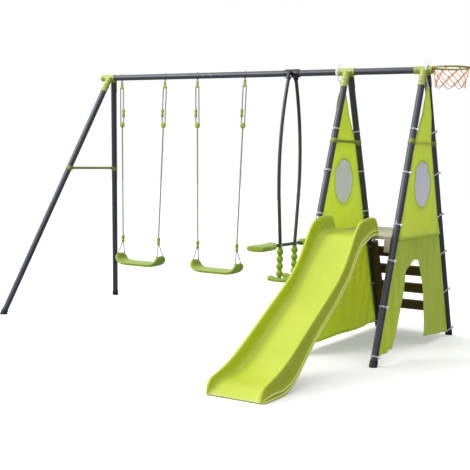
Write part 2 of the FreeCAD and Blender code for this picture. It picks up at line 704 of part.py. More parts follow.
bar_z = low_ends["front"].z
columns = []
footrests = []
bar_low = Vector(glide.x, beam.y - size("cross_half"), bar_z)
crossbar_tube = tube("glider_bar_tube", along(bar_low, Y_AXIS), glide_r, "glide_wall", "2 * cross_half")
bar_holes = []
for word, side in SIDES:
    spot = Vector(glide.x, low_ends[word].y, bar_z)
    bar_holes.append(bolt_hole(f"glider_bar_hole_{word}", spot, X_AXIS, 40))
    bar_reach = size("glide_od") / 2 + 0.2
    glide_bolts.append(through_bolt(f"glider_bar_bolt_{word}", spot, X_AXIS, bar_reach))
node("glider_crossbar", [cut("glider_bar", crossbar_tube, bar_holes)])
node("glider_bolts", glide_bolts)

for word, side in SIDES:
    seat_y = beam.y + side * size("saddle_in")
    points = [
        ("0", "-24"), ("saddle_length", "-24"), ("saddle_length", "10"), ("saddle_length - 22", "20"),
        ("saddle_length * 0.42", "18"), ("46", "26"), ("14", "46"), ("0", "40"),
    ]
    flip = Rotation(Z_AXIS, 90 if side > 0 else -90)
    body = prism(
        f"glider_seat_{word}_body", Placement(Vector(glide.x, seat_y, bar_z), flip), "XZ", points,
        "saddle_width", straight(X_AXIS), "7",
    )
    seat_bore = rod(
        f"glider_seat_{word}_bore", along(bar_low - Y_AXIS * 20, Y_AXIS), "glide_od / 2 + fit_gap",
        "2 * cross_half + 40 - 8" if side < 0 else "2 * cross_half + 20.4",
    )
    node(f"glider_seat_{word}", [cut(f"glider_seat_{word}_cut", body, [seat_bore])])
    column_top = bar_z - size("glide_od") / 2 - size("fit_gap")
    beads = []
    column_y = low_ends[word].y
    for i in range(4):
        drop = size("bead_r") + 10 + i * size("bead_pitch")
        bead_place = Placement(Vector(glide.x, column_y, column_top - drop), Rotation())
        beads.append(make("Part::Sphere", f"bead_{word}{i}", bead_place, Radius="bead_r"))
    column_low = column_top - 4 * size("bead_pitch") - 22
    core_start = Vector(glide.x, column_y, column_low)
    beads.append(rod(f"bead_core_{word}", along(core_start, Z_AXIS), "13", str(column_top - column_low)))
    cup = rod(f"bead_cup_{word}", along(Vector(glide.x, column_y, column_top - 14), Z_AXIS), "17", "14")
    columns.append(join(f"bead_column_{word}", beads + [cup]))
    foot_z = column_low - size("fit_gap") - 26
    footrests.append(prism(
        f"glider_footrest_{word}_body", Placement(Vector(glide.x, column_y, foot_z), Rotation()), "XZ",
        [("-step_length / 2 + 18", "0"), ("step_length / 2 - 18", "0"), ("step_length / 2", "16"),
         ("step_length / 2", "step_rise"), ("step_length / 2 - 10", "step_rise"),
         ("step_length / 2 - 26", "26"), ("-step_length / 2 + 26", "26"),
         ("-step_length / 2 + 10", "step_rise"), ("-step_length / 2", "step_rise"),
         ("-step_length / 2", "16")],
        "step_depth", straight(Y_AXIS), "5",
    ))
node("glider_bead_columns", columns)
node("glider_footrests", footrests)

# ---- tower deck -----------------------------------------------------------------------
deck_left = size("mid_frame") + size("deck_side")
board_place = Vector(deck_left, beam.y - size("deck_front"), size("deck_z") - size("board_thick"))
count = int(size("board_count"))
pitch = (size("deck_front") + size("deck_back") + size("board_gap")) / count
boards = []
for i in range(count):
    place = Placement(board_place + Y_AXIS * (i * pitch), Rotation())
    boards.append(block(
        f"board{i}", place, "right_frame - mid_frame - 2 * deck_side",
        "(deck_front + deck_back + board_gap) / board_count - board_gap", "board_thick",
    ))
node("deck_boards", boards)

screws = []


def screw(name, point, direction):
    """Round screw head standing on a surface, with a short shank under it."""
    head = rod(name + "_head", along(point, direction), "5", "2.2")
    shank = rod(name + "_shank", along(point - direction * 0.5, direction), "2.5", "2")
    screws.append(join(name, [head, shank]))


bearers = []
bearer_z = size("deck_z") - size("board_thick") - size("bearer_h")
rest_gap = outer_r + size("fit_gap")
for frame, s in (("mid", 1), ("right", -1)):
    x = FRAMES[frame][0] + (rest_gap if s > 0 else -rest_gap - size("bearer_w"))
    place = Placement(Vector(x, beam.y - size("bearer_front"), bearer_z), Rotation())
    bearers.append(block(f"bearer_{frame}", place, "bearer_w", "bearer_front + bearer_back", "bearer_h"))
    for word, side in SIDES:
        spot = leg_point(frame, side, bearer_z + size("bearer_h") / 2)
        face = spot + X_AXIS * s * (rest_gap + size("bearer_w") + 0.2)
        screw(f"bearer_{frame}_{word}_screw", face + X_AXIS * s * 0.4, X_AXIS * s)
node("deck_bearers", bearers)

TIE_HEIGHTS = (1480, 1199, 910, 641, 359, 60)

# ---- ladder: two sloping rails with upright slats on the climbing side -----------------
rails = []
foot, rear_up = leg_axis("mid", 1)
rear_out = leg_cross("mid", 1)
rear_lean = Rotation(X_AXIS, rear_out, rear_up, "XYZ")
low_point = leg_point("mid", 1, size("rail_low"))
high_point = leg_point("mid", 1, size("rail_high"))
rail_length = (high_point - low_point).Length
for frame, s in (("mid", 1), ("right", -1)):
    x = FRAMES[frame][0] + (rest_gap if s > 0 else -rest_gap - size("rail_w"))
    corner = Vector(x, low_point.y, low_point.z) - rear_out * (size("rail_t") / 2)
    rail = block(f"rail_{frame}", Placement(corner, rear_lean), "rail_w", "rail_t", str(rail_length))
    foot, up = leg_axis(frame, 1)
    grooves = []
    for i, height in enumerate(height for height in TIE_HEIGHTS if height < size("rail_high")):
        grooves.append(ring(
            f"rail_{frame}_groove{i}", along(leg_point(frame, 1, height), up),
            "tube_od / 2 + tie_d / 2 + fit_gap", "tie_d / 2 + 0.5",
        ))
    rails.append(cut(f"rail_{frame}_grooved", rail, grooves))
node("ladder_rails", rails)

slats = []
for i in range(4):
    height = size("slat_low") + i * size("slat_pitch")
    middle = leg_point("mid", 1, height)
    corner = Vector(size("mid_frame") + rest_gap, middle.y, middle.z)
    corner = corner + rear_out * (size("rail_t") / 2) - rear_up * (size("slat_h") / 2)
    slat_length = f"right_frame - mid_frame - 2 * {rest_gap}"
    slats.append(block(f"slat{i}", Placement(corner, rear_lean), slat_length, "slat_t", "slat_h"))
    for frame, s in (("mid", 1), ("right", -1)):
        for t in (-1, 1):
            x = FRAMES[frame][0] + s * (rest_gap + size("rail_w") / 2)
            point = Vector(x, middle.y, middle.z) + rear_up * (t * 20)
            point = point + rear_out * (size("rail_t") / 2 + size("slat_t") + 0.6)
            screw(f"slat{i}_{frame}_screw{t + 1}", point, rear_out)
node("ladder_slats", slats)
for i in range(count):
    for s in (-1, 1):
        x = (FRAMES["mid"][0] + 44) if s < 0 else (FRAMES["right"][0] - 44)
        for t in (-1, 1):
            y = beam.y - size("deck_front") + i * pitch + (pitch - size("board_gap")) / 2 + t * 24
            if i > 0:
                screw(f"board{i}_screw{s + 1}{t + 1}", Vector(x, y, size("deck_z") + 0.6), Z_AXIS)
node("wood_screws", screws)

# ---- slide ----------------------------------------------------------------------------
slide_place = Placement(Vector(size("slide_x"), beam.y, 0), Rotation())
wall_top = [
    (-470, 802), (-512, 900), (-560, 912), (-645, 906), (-748, 878), (-790, 828), (-915, 656), (-1045, 541),
    (-1276, 400), (-1493, 268), (-1666, 168), (-1800, 116), (-1885, 92),
]
wall_low = [
    (-1922, 46), (-1916, 0), (-1700, 0), (-1545, 66), (-1318, 246), (-1090, 394), (-904, 528), (-760, 692),
    (-690, 748), (-610, 768), (-440, 770),
]
bed_top = [
    (-380, 812), (-640, 808), (-712, 780), (-800, 690), (-925, 556), (-1060, 446), (-1290, 298),
    (-1500, 166), (-1640, 98), (-1740, 72), (-1880, 62),
]
bed_low = [
    (-1892, 48), (-1892, 44), (-1740, 50), (-1632, 78), (-1490, 146), (-1278, 280), (-1046, 428),
    (-910, 538), (-785, 672), (-700, 760), (-630, 790.3), (-380, 790.3),
]


def slide_points(pairs):
    return [(f"{y}", f"{z}") for y, z in pairs]


walls = []
wall_shift = (size("slide_w") - size("slide_wall")) / 2
for s in (-1, 1):
    place = Placement(Vector(size("slide_x") + s * wall_shift, beam.y, 0), Rotation())
    walls.append(prism(f"slide_wall{s + 1}", place, "YZ", slide_points(wall_top + wall_low), "slide_wall"))
bed = prism("slide_bed", slide_place, "YZ", slide_points(bed_top + bed_low), "slide_w - 2 * slide_wall + 2")
nose = prism(
    "slide_nose", slide_place, "YZ",
    slide_points([(-1880, 62), (-1910, 50), (-1922, 36), (-1916, 0), (-1886, 0), (-1890, 44), (-1870, 46)]),
    "slide_w - 2 * slide_wall + 2",
)
node("slide", [join("slide_whole", walls + [bed, nose])])

# ---- laced panels between the tower legs ----------------------------------------------
thick = size("cloth_t")


def slope_text(height, side):
    """Expression for a panel edge beside a leg at a height, from the beam plane."""
    spread = f"(foot_spread - leg_offset) * (beam_height - ({height})) / beam_height"
    run = f"leg_offset + {spread} - cloth_inset"
    return run if side > 0 else f"-({run})"


upper_points = [
    (slope_text("cloth_top", -1), "cloth_top"), ("4", "cloth_top"),
    (slope_text("cloth_meet", 1), "cloth_meet"),
    (slope_text("hem_z", 1), "hem_z"), (slope_text("hem_z", -1), "hem_z"),
]


def oval(name, x, grow, length):
    """Upright oval plate along X."""
    turn = Rotation(Z_AXIS, Y_AXIS * -1, X_AXIS, "XYZ")
    rim = make(
        "Part::Ellipse", name + "_rim", Placement(Vector(x, beam.y, size("window_z")), turn),
        MajorRadius=f"window_h - {grow}", MinorRadius=f"window_w - {grow}",
    )
    plate = doc.addObject("Part::Extrusion", name)
    plate.Base = rim
    plate.DirMode = "Custom"
    plate.Dir = X_AXIS
    plate.Solid = True
    plate.setExpression("LengthFwd", length)
    return plate


for frame in ("mid", "right"):
    x = FRAMES[frame][0]
    place = Placement(Vector(x, beam.y, 0), Rotation())
    panel = prism(f"cloth_{frame}_upper", place, "YZ", upper_points, "cloth_t")
    hole = oval(f"cloth_{frame}_hole", x - 10, "0", "20")
    node(f"panel_{frame}_upper", [cut(f"cloth_{frame}_open", panel, [hole])])
    node(f"window_{frame}", [oval(f"mesh_{frame}", x - thick / 2, "fit_gap / 2", sized("cloth_t"))])

node("panel_mid_lower", [prism(
    "cloth_mid_lower", Placement(Vector(FRAMES["mid"][0], beam.y, 0), Rotation()), "YZ",
    [(slope_text("skirt_top", 1), "skirt_top"), (slope_text("skirt_low", 1), "skirt_low"),
     (slope_text("skirt_low", -1), "skirt_low"), (slope_text("skirt_top", -1), "skirt_top")],
    "cloth_t",
)])
node("panel_right_lower", [prism(
    "cloth_right_lower", Placement(Vector(FRAMES["right"][0], beam.y, 0), Rotation()), "YZ",
    [(slope_text("skirt_top", 1), "skirt_top"), (slope_text("skirt_low", 1), "skirt_low"),
     ("186", "skirt_low + 20"), ("183", "door_peak - 515"), ("143", "door_peak - 383"),
     ("117", "door_peak - 255"), ("55", "door_peak - 107"), ("-11", "door_peak - 20"),
     ("-73", "door_peak"), ("-178", "door_peak - 22"), ("-238", "door_peak - 64"),
     ("-248", "door_peak - 174"), ("-315", "door_peak - 310"), ("-383", "door_peak - 473"),
     ("-409", "skirt_low + 20"),
     (slope_text("skirt_low", -1), "skirt_low"), (slope_text("skirt_top", -1), "skirt_top")],
    "cloth_t",
)])

# ---- elastic ties round the tower legs, and the cord over the beam ----------------------
ties = []
for frame in ("mid", "right"):
    for word, side in SIDES:
        foot, up = leg_axis(frame, side)
        for i, height in enumerate(TIE_HEIGHTS):
            tag = f"tie_{frame}_{word}{i}"
            centre = leg_point(frame, side, height)
            loop = ring(tag + "_loop", along(centre, up), "tube_od / 2 + tie_d / 2 + fit_gap", "tie_d / 2")
            beside_rail = frame == "mid" and side > 0
            outward = Vector(-1 if beside_rail else 1, -1, 0).normalize()
            spot = centre + outward * (outer_r + 5)
            toggle = rod(tag + "_toggle", along(spot - Z_AXIS * 8, Z_AXIS), "5.5", "16")
            leg_room = rod(tag + "_room", along(centre - up * 30, up), "tube_od / 2 + fit_gap / 2", "60")
            ties.append(cut(tag, join(tag + "_whole", [loop, toggle]), [leg_room]))
node("leg_ties", ties)

cords = []
for frame in ("mid", "right"):
    x = shell_centres[frame] - size("shell_length") / 2 - 6
    centre = Vector(x, beam.y, beam.z)
    loop = ring(f"cord_{frame}_loop", along(centre, X_AXIS), "tube_od / 2 + tie_d / 2 + fit_gap", "tie_d / 2")
    knot_place = Placement(centre + Z_AXIS * (outer_r + 9), Rotation())
    knot = make("Part::Sphere", f"cord_{frame}_knot", knot_place, Radius="8")
    start = centre - Z_AXIS * (outer_r + 3.6)
    end = Vector(FRAMES[frame][0] - 1.4, beam.y, size("cloth_top") - 6)
    run = end.sub(start)
    strand = rod(f"cord_{frame}_strand", along(start, run), "tie_d / 2", str(run.Length))
    cords.append(join(f"cord_{frame}", [loop, knot, strand]))
node("top_cords", cords)

# ---- ball hoop at the beam end ----------------------------------------------------------
hoop = Vector(size("right_frame") + size("hoop_reach"), beam.y, beam.z + size("hoop_lift"))
rim = ring("hoop_rim", Placement(hoop, Rotation()), "hoop_r", "hoop_wire")
plug = rod("hoop_plug", along(right_end - X_AXIS * 14, X_AXIS), spigot_r, "18")
flange = rod("hoop_flange", along(right_end + X_AXIS * 1.4, X_AXIS), "24", "5")
arm = block(
    "hoop_arm", Placement(right_end + Vector(2, -26, 2), Rotation()), "9", "52", "16",
)
node("hoop", [join("hoop_whole", [rim, plug, flange, arm])])

net_count = int(size("net_count"))
net_height = 3 * size("net_drop")
net_base = Placement(hoop - Z_AXIS * net_height, Rotation())
skin = make(
    "Part::Cone", "net_skin", net_base,
    Radius1="net_low_r", Radius2="hoop_r - hoop_wire - fit_gap", Height="3 * net_drop",
)
core = make(
    "Part::Cone", "net_core", net_base,
    Radius1="net_low_r - net_d", Radius2="hoop_r - hoop_wire - fit_gap - net_d", Height="3 * net_drop",
)
diamonds = [core]
for row in range(4):
    for i in range(net_count):
        angle = 2 * math.pi * (i + 0.5 * (row % 2)) / net_count
        radial = Vector(math.cos(angle), math.sin(angle), 0)
        turn = Rotation(Z_AXIS, radial.cross(Z_AXIS), radial, "XYZ")
        start = hoop + radial * 80 - Z_AXIS * (row * size("net_drop"))
        diamond = make(
            "Part::Prism", f"net_mesh{row}_{i}", Placement(start, turn),
            Circumradius=f"net_open - {row} * 1.8", Height="40",
        )
        diamond.Polygon = 4
        diamonds.append(diamond)
node("net", [cut("net_whole", skin, diamonds)])

# ---- checks and export ------------------------------------------------------------------
doc.recompute()
for thing in doc.Objects:
    if "Invalid" in thing.State or "Error" in thing.State:
        raise RuntimeError(f"{thing.Name} did not recompute: {thing.State}")
for thing in NODES:
    shape = thing.Shape
    if shape.isNull() or not shape.isValid() or not shape.Solids:
        raise RuntimeError(f"{thing.Label} has no valid solid")
for thing in NODES:
    thing.Shape.exportStep(f"parts/{thing.Label}.step")
for tag, strand_length, rope_length in ROPES:
    print(f"rope {tag}: strands {strand_length:.0f} mm, main rope {rope_length:.0f} mm")
print(len(NODES), "sub-parts written")
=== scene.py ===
import bpy
import bmesh
import math
import numpy as np
from mathutils import Matrix, Vector
from mathutils.geometry import delaunay_2d_cdt


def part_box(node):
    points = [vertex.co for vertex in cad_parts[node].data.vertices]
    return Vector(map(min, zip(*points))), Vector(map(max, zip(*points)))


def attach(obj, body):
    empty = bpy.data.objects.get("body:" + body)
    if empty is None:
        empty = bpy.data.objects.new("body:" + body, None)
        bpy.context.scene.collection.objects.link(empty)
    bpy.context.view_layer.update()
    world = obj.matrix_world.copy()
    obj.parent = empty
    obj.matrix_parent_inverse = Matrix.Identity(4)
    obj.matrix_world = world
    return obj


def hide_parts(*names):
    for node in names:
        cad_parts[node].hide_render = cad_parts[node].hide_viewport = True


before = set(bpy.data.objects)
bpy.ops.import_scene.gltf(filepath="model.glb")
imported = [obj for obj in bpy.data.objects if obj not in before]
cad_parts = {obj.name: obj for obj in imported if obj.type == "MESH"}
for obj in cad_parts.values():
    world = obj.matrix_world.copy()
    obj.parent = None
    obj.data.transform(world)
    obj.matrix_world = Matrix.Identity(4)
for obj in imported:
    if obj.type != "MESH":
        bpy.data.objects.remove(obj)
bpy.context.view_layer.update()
scene = bpy.context.scene

# ---- frame layout, in metres; heights and places match the CAD ------------------------------
BEAM_Y = 0.596
BEAM_Z = 1.880
FOOT_SPREAD = 0.705
LEG_OFFSET = 0.025
MID_X = 0.867
RIGHT_X = 1.427
TUBE_R = 0.0225
SIDES = (("front", -1), ("rear", 1))
PIVOT_Z = 1.8393
UP = Vector((0, 0, 1))
HEM = 0.020
MERGE = 1e-5  # points nearer than this are one
SLAT_HEIGHTS = tuple(0.188 + 0.133 * i for i in range(4))


def leg_y(height, side):
    """Axis of a front or rear leg at a height."""
    return BEAM_Y + side * (LEG_OFFSET + (FOOT_SPREAD - LEG_OFFSET) * (1 - height / BEAM_Z))


def leg_up(side):
    return Vector((0, side * (LEG_OFFSET - FOOT_SPREAD), BEAM_Z)).normalized()


# ---- small mesh helpers -----------------------------------------------------------------------
def mesh_object(name, points, faces, smooth=True):
    mesh = bpy.data.meshes.new(name)
    mesh.from_pydata([tuple(p) for p in points], [], faces)
    if smooth:
        mesh.shade_smooth()
    made = bpy.data.objects.new(name, mesh)
    scene.collection.objects.link(made)
    return made


def cleaned(thing):
    """Merge doubled points and turn every face outward."""
    work = bmesh.new()
    work.from_mesh(thing.data)
    bmesh.ops.remove_doubles(work, verts=work.verts, dist=MERGE)
    bmesh.ops.dissolve_degenerate(work, edges=work.edges, dist=1e-7)
    bmesh.ops.recalc_face_normals(work, faces=work.faces)
    work.to_mesh(thing.data)
    work.free()
    return thing


def joined(name, pieces):
    """One object out of several, material slots kept."""
    for piece in pieces:
        flatten(piece)
    target = pieces[0]
    if len(pieces) > 1:
        with bpy.context.temp_override(
            active_object=target, object=target,
            selected_objects=pieces, selected_editable_objects=pieces,
        ):
            bpy.ops.object.join()
    target.name = name
    target.data.name = name
    return target


def flatten(thing):
    """Apply modifiers and turn a curve into a mesh, with its place kept in the mesh."""
    bpy.context.view_layer.update()
    if thing.type == "MESH" and not thing.modifiers and thing.matrix_world == Matrix.Identity(4):
        return thing
    graph = bpy.context.evaluated_depsgraph_get()
    mesh = bpy.data.meshes.new_from_object(thing.evaluated_get(graph), depsgraph=graph)
    mesh.transform(thing.matrix_world)
    name = thing.name
    if thing.type == "MESH":
        thing.modifiers.clear()
        thing.data = mesh
        thing.matrix_world = Matrix.Identity(4)
        return thing
    made = bpy.data.objects.new(name, mesh)
    scene.collection.objects.link(made)
    bpy.data.objects.remove(thing)
    made.name = name
    return made


def point_values(thing, name, values, kind="FLOAT", field="value"):
    """Give every point of a mesh a named value."""
    thing.data.attributes.new(name, kind, "POINT").data.foreach_set(field, values)


def loft(name, rings, highlight_values=None):
    """Skin over rings of equal point count, ends capped by a fan at each ring's middle.

    The optional values of one ring's points are kept as the attribute "line"; the slide uses them to paint
    a highlight on the crests of its moulded lines.
    """
    count = len(rings[0])
    points = [p for ring in rings for p in ring]
    faces = []
    for i in range(len(rings) - 1):
        for j in range(count):
            k = (j + 1) % count
            faces.append((i * count + j, i * count + k, (i + 1) * count + k, (i + 1) * count + j))
    for start in (0, (len(rings) - 1) * count):
        middle = sum((Vector(p) for p in points[start:start + count]), Vector()) / count
        points.append(middle)
        for j in range(count):
            faces.append((start + j, start + (j + 1) % count, len(points) - 1))
    made = mesh_object(name, points, faces)
    if highlight_values:
        point_values(made, "line", highlight_values * len(rings) + [0.0, 0.0])
    return cleaned(made)


def superellipse(half_a, half_b, power, count):
    """Rounded-rectangle points as pairs."""
    out = []
    for i in range(count):
        t = 2 * math.pi * i / count
        c, s = math.cos(t), math.sin(t)
        out.append((
            half_a * math.copysign(abs(c) ** (2 / power), c),
            half_b * math.copysign(abs(s) ** (2 / power), s),
        ))
    return out


def eased(stations, steps):
    """Catmull-Rom points through given stations of any width."""
    rows = [np.array(s, float) for s in stations]
    rows = [2 * rows[0] - rows[1]] + rows + [2 * rows[-1] - rows[-2]]
    out = []
    for i in range(1, len(rows) - 2):
        a, b, c, d = rows[i - 1:i + 3]
        for k in range(steps):
            t = k / steps
            out.append(0.5 * (2 * b + (c - a) * t + (2 * a - 5 * b + 4 * c - d) * t * t
                              + (3 * b - a - 3 * c + d) * t ** 3))
    out.append(rows[-2])
    return out


def mirrored(rows):
    """Rows and their mirror images in the first number; the last row stays single."""
    return list(rows) + [(-row[0], *row[1:]) for row in rows[-2::-1]]


# ---- procedural finishes ----------------------------------------------------------------------
class Finish:
    """Material with a Principled shader and short calls for its nodes."""

    def __init__(self, name, rough=0.5, metal=0.0, **sockets):
        self.material = bpy.data.materials.new(name)
        self.material.use_nodes = True
        self.tree = self.material.node_tree
        self.shader = self.tree.nodes["Principled BSDF"]
        self.shader.inputs["Roughness"].default_value = rough
        self.shader.inputs["Metallic"].default_value = metal
        for key, value in sockets.items():
            self.shader.inputs[key.replace("_", " ")].default_value = value
        self.place = self.add("ShaderNodeTexCoord").outputs["Object"]

    def add(self, kind, sources=None, values=None, **settings):
        node = self.tree.nodes.new(kind)
        for key, value in settings.items():
            setattr(node, key, value)
        for key, value in (values or {}).items():
            node.inputs[key].default_value = value
        for key, source in (sources or {}).items():
            self.tree.links.new(source, node.inputs[key])
        return node

    def mapped(self, scale=(1, 1, 1), turn=(0, 0, 0)):
        node = self.add("ShaderNodeMapping", {"Vector": self.place})
        node.inputs["Scale"].default_value = scale
        node.inputs["Rotation"].default_value = turn
        return node.outputs["Vector"]

    def noise(self, scale, detail=3.0, source=None, rough=0.55):
        node = self.add("ShaderNodeTexNoise", {"Vector": source or self.place},
                        {"Scale": scale, "Detail": detail, "Roughness": rough})
        return node.outputs["Fac"]

    def wave(self, scale, source=None, direction="X", distort=0.0):
        node = self.add("ShaderNodeTexWave", {"Vector": source or self.place},
                        {"Scale": scale, "Distortion": distort, "Detail": 1.0},
                        bands_direction=direction, wave_profile="SIN")
        return node.outputs["Fac"]

    def grade(self, source, low, high, out_low=0.0, out_high=1.0):
        node = self.add("ShaderNodeMapRange", {"Value": source},
                        {"From Min": low, "From Max": high, "To Min": out_low, "To Max": out_high})
        return node.outputs["Result"]

    def math(self, kind, first, second):
        node = self.add("ShaderNodeMath", operation=kind)
        for i, value in enumerate((first, second)):
            if isinstance(value, (int, float)):
                node.inputs[i].default_value = value
            else:
                self.tree.links.new(value, node.inputs[i])
        return node.outputs["Value"]

    def mix(self, share, first, second):
        node = self.add("ShaderNodeMix", data_type="RGBA")
        colours = {s.name: s for s in node.inputs if s.type == "RGBA"}
        wanted = ((node.inputs["Factor"], share), (colours["A"], first), (colours["B"], second))
        for target, value in wanted:
            if isinstance(value, (int, float)):
                target.default_value = value
            elif isinstance(value, tuple):
                target.default_value = (*value, 1) if len(value) == 3 else value
            else:
                self.tree.links.new(value, target)
        return [s for s in node.outputs if s.type == "RGBA"][0]

    def colour(self, source):
        self.tree.links.new(source, self.shader.inputs["Base Color"])
        return self

    def rough(self, source):
        self.tree.links.new(source, self.shader.inputs["Roughness"])
        return self

    def alpha(self, source):
        self.tree.links.new(source, self.shader.inputs["Alpha"])
        return self

    def bump(self, source, strength, distance):
        node = self.add("ShaderNodeBump", {"Height": source}, {"Strength": strength, "Distance": distance})
        old = self.shader.inputs["Normal"].links
        if old:
            self.tree.links.new(old[0].from_socket, node.inputs["Normal"])
        self.tree.links.new(node.outputs["Normal"], self.shader.inputs["Normal"])
        return self


def rgb(red, green, blue):
    """Linear colour from display values 0 to 255."""
    return tuple((c / 255 / 12.92) if c <= 10 else ((c / 255 + 0.055) / 1.055) ** 2.4
                 for c in (red, green, blue))


def powder_coat(name, body, worn, dust, rough=0.34):
    """Satin paint on steel: cloudy wear, light flecks and a fine orange peel."""
    f = Finish(name, rough, Coat_Weight=0.5, Coat_Roughness=0.38, Specular_IOR_Level=0.6)
    cloud = f.noise(6.0, 4.0)
    fleck = f.noise(420.0, 2.0)
    base = f.mix(f.grade(cloud, 0.35, 0.7), body, worn)
    base = f.mix(f.grade(fleck, 0.66, 0.8, 0.0, 0.35), base, dust)
    f.colour(base)
    f.rough(f.grade(cloud, 0.3, 0.75, rough - 0.05, rough + 0.12))
    f.bump(f.noise(900.0, 1.0), 0.12, 0.0004)
    f.bump(f.noise(160.0, 2.0), 0.08, 0.0006)
    return f.material


def moulded(name, body, deep, bright, lines=False):
    """Blow-moulded plastic: soft colour drift, fine grain, lighter scuffed streaks, a little light inside;
    with lines, a painted highlight on the crests of the moulded lines.
    """
    rough = 0.38
    f = Finish(name, rough, Subsurface_Weight=0.12, Subsurface_Scale=0.012,
               Coat_Weight=0.12, Coat_Roughness=0.3)
    f.shader.inputs["Subsurface Radius"].default_value = (0.9, 1.0, 0.25)
    drift = f.noise(2.6, 3.0)
    scuff = f.noise(38.0, 5.0, f.mapped((1.0, 0.12, 0.6)))
    base = f.mix(f.grade(drift, 0.32, 0.68), deep, body)
    base = f.mix(f.grade(scuff, 0.60, 0.82, 0.0, 0.35), base, bright)
    if lines:
        # painted highlight: where the attribute "line" is set, on the crests of the moulded lines, the
        # colour is lightened to stand for light caught there
        crest_highlight = f.add("ShaderNodeAttribute", attribute_name="line").outputs["Fac"]
        base = f.mix(f.grade(crest_highlight, 0.3, 0.9), base, tuple(min(1.0, 1.35 * c + 0.06) for c in bright))
    f.colour(base)
    f.rough(f.grade(scuff, 0.35, 0.8, rough - 0.04, rough + 0.16))
    f.bump(f.noise(650.0, 2.0), 0.18, 0.0005)
    f.bump(f.noise(9.0, 2.0), 0.10, 0.004)
    return f.material


def timber(name, dark, light, along, knots, rough=0.7):
    """Sawn wood with its grain along one axis: 0 for X, 2 for the sloping rails."""
    f = Finish(name, rough, Specular_IOR_Level=0.3)
    stretch = (1.2, 14.0, 14.0) if along == 0 else (14.0, 5.0, 1.6)
    bent = f.mapped(stretch)
    grain = f.noise(5.0, 6.0, bent, 0.7)
    rings = f.wave(3.2, f.mapped((0.35, 9.0, 9.0) if along == 0 else (9.0, 3.0, 0.5)), "DIAGONAL", 9.0)
    fibre = f.noise(60.0, 3.0, bent, 0.75)
    base = f.mix(f.grade(grain, 0.30, 0.72), dark, light)
    base = f.mix(f.grade(rings, 0.2, 0.95, 0.0, 0.42), base, dark)
    cells = f.add("ShaderNodeTexVoronoi", {"Vector": f.mapped((1.5, 6.0, 6.0))}, {"Scale": 3.0})
    base = f.mix(f.grade(cells.outputs["Distance"], 0.0, 0.09, 0.8, 0.0), base, knots)
    f.colour(base)
    f.rough(f.grade(fibre, 0.3, 0.8, rough - 0.1, rough + 0.15))
    f.bump(fibre, 0.35, 0.0012)
    f.bump(rings, 0.12, 0.0012)
    return f.material


def cord_finish(name, body, shade, lay=260.0, tip=None):
    """Braided cord: crossed ribs with painted shade in the grooves between them, fuzz and soiling; the
    colour named shade serves both the groove shade and the soiling.
    """
    f = Finish(name, 0.85, Sheen_Weight=0.35, Sheen_Roughness=0.5, Specular_IOR_Level=0.2)
    one = f.wave(lay, f.mapped(turn=(0.6, 0.5, 0.78)), "Z", 0.4)
    two = f.wave(lay, f.mapped(turn=(-0.6, -0.5, 0.78)), "Z", 0.4)
    ribs = f.math("MAXIMUM", one, two)
    soil = f.noise(24.0, 4.0)
    # painted shade: the grooves between the ribs are coloured towards shade
    base = f.mix(f.grade(ribs, 0.2, 0.9), shade, body)
    base = f.mix(f.grade(soil, 0.5, 0.8, 0.0, 0.4), base, shade)
    if tip:
        height = f.add("ShaderNodeSeparateXYZ", {"Vector": f.place}).outputs["Z"]
        base = f.mix(f.grade(height, tip[0], tip[1], 1.0, 0.0), base, tip[2])
    f.colour(base)
    f.bump(ribs, 0.5, 0.0008)
    f.bump(f.noise(1400.0, 2.0), 0.25, 0.0004)
    return f.material


def woven(name, body, deep, light):
    """Woven sheet: warp and weft across Y and Z, doubled hem with two stitch lines."""
    f = Finish(name, 0.72, Sheen_Weight=0.25, Sheen_Roughness=0.45, Specular_IOR_Level=0.25,
               Subsurface_Weight=0.8, Subsurface_Scale=0.010)
    f.shader.inputs["Subsurface Radius"].default_value = (1.0, 1.0, 0.5)
    warp = f.wave(170.0, None, "Y", 0.15)
    weft = f.wave(170.0, None, "Z", 0.15)
    slub = f.noise(30.0, 4.0, f.mapped((1, 8.0, 0.6)))
    cloud = f.noise(3.0, 3.0)
    weave = f.math("MULTIPLY", warp, weft)
    base = f.mix(f.grade(cloud, 0.3, 0.7), deep, body)
    base = f.mix(f.grade(slub, 0.5, 0.85, 0.0, 0.12), base, light)
    # painted shade: the low spots between crossing threads are darkened towards deep
    base = f.mix(f.grade(weave, 0.0, 0.5, 0.22, 0.0), base, deep)
    edge = f.add("ShaderNodeAttribute", attribute_name="edge").outputs["Fac"]
    in_hem = f.grade(edge, HEM - 0.0012, HEM + 0.0012, 1.0, 0.0)
    base = f.mix(f.math("MULTIPLY", in_hem, 0.30), base, deep)
    pulse = f.grade(f.wave(46.0, None, "DIAGONAL"), 0.45, 0.6)
    for stitch_at in (0.0045, 0.0175):
        off_line = f.math("ABSOLUTE", f.math("SUBTRACT", edge, stitch_at), 0.0)
        line = f.grade(off_line, 0.0006, 0.0012, 1.0, 0.0)
        base = f.mix(f.math("MULTIPLY", f.math("MULTIPLY", line, pulse), 0.8), base, light)
    f.bump(in_hem, 0.5, 0.0009)
    f.colour(base)
    f.bump(weave, 0.35, 0.0005)
    f.bump(f.noise(16.0, 3.0), 0.16, 0.004)
    return f.material


def net_cloth(name, body, thread):
    """Fine see-through net of the window: round holes between threads."""
    f = Finish(name, 0.6, Sheen_Weight=0.3, Sheen_Roughness=0.5)
    warp = f.wave(210.0, None, "Y")
    weft = f.wave(210.0, None, "Z")
    lines = f.math("MAXIMUM", warp, weft)
    crease_shade = f.noise(20.0, 3.0, f.mapped((1, 5.0, 0.4)))
    base = f.mix(f.grade(lines, 0.3, 0.9), body, thread)
    # painted shade: the net is darkened along streaks where creases would fall into shade
    base = f.mix(f.grade(crease_shade, 0.5, 0.75, 0.0, 0.35), base, tuple(0.8 * c for c in body))
    f.colour(base)
    f.alpha(f.grade(lines, 0.25, 0.55, 0.5, 1.0))
    f.bump(lines, 0.4, 0.0005)
    return f.material


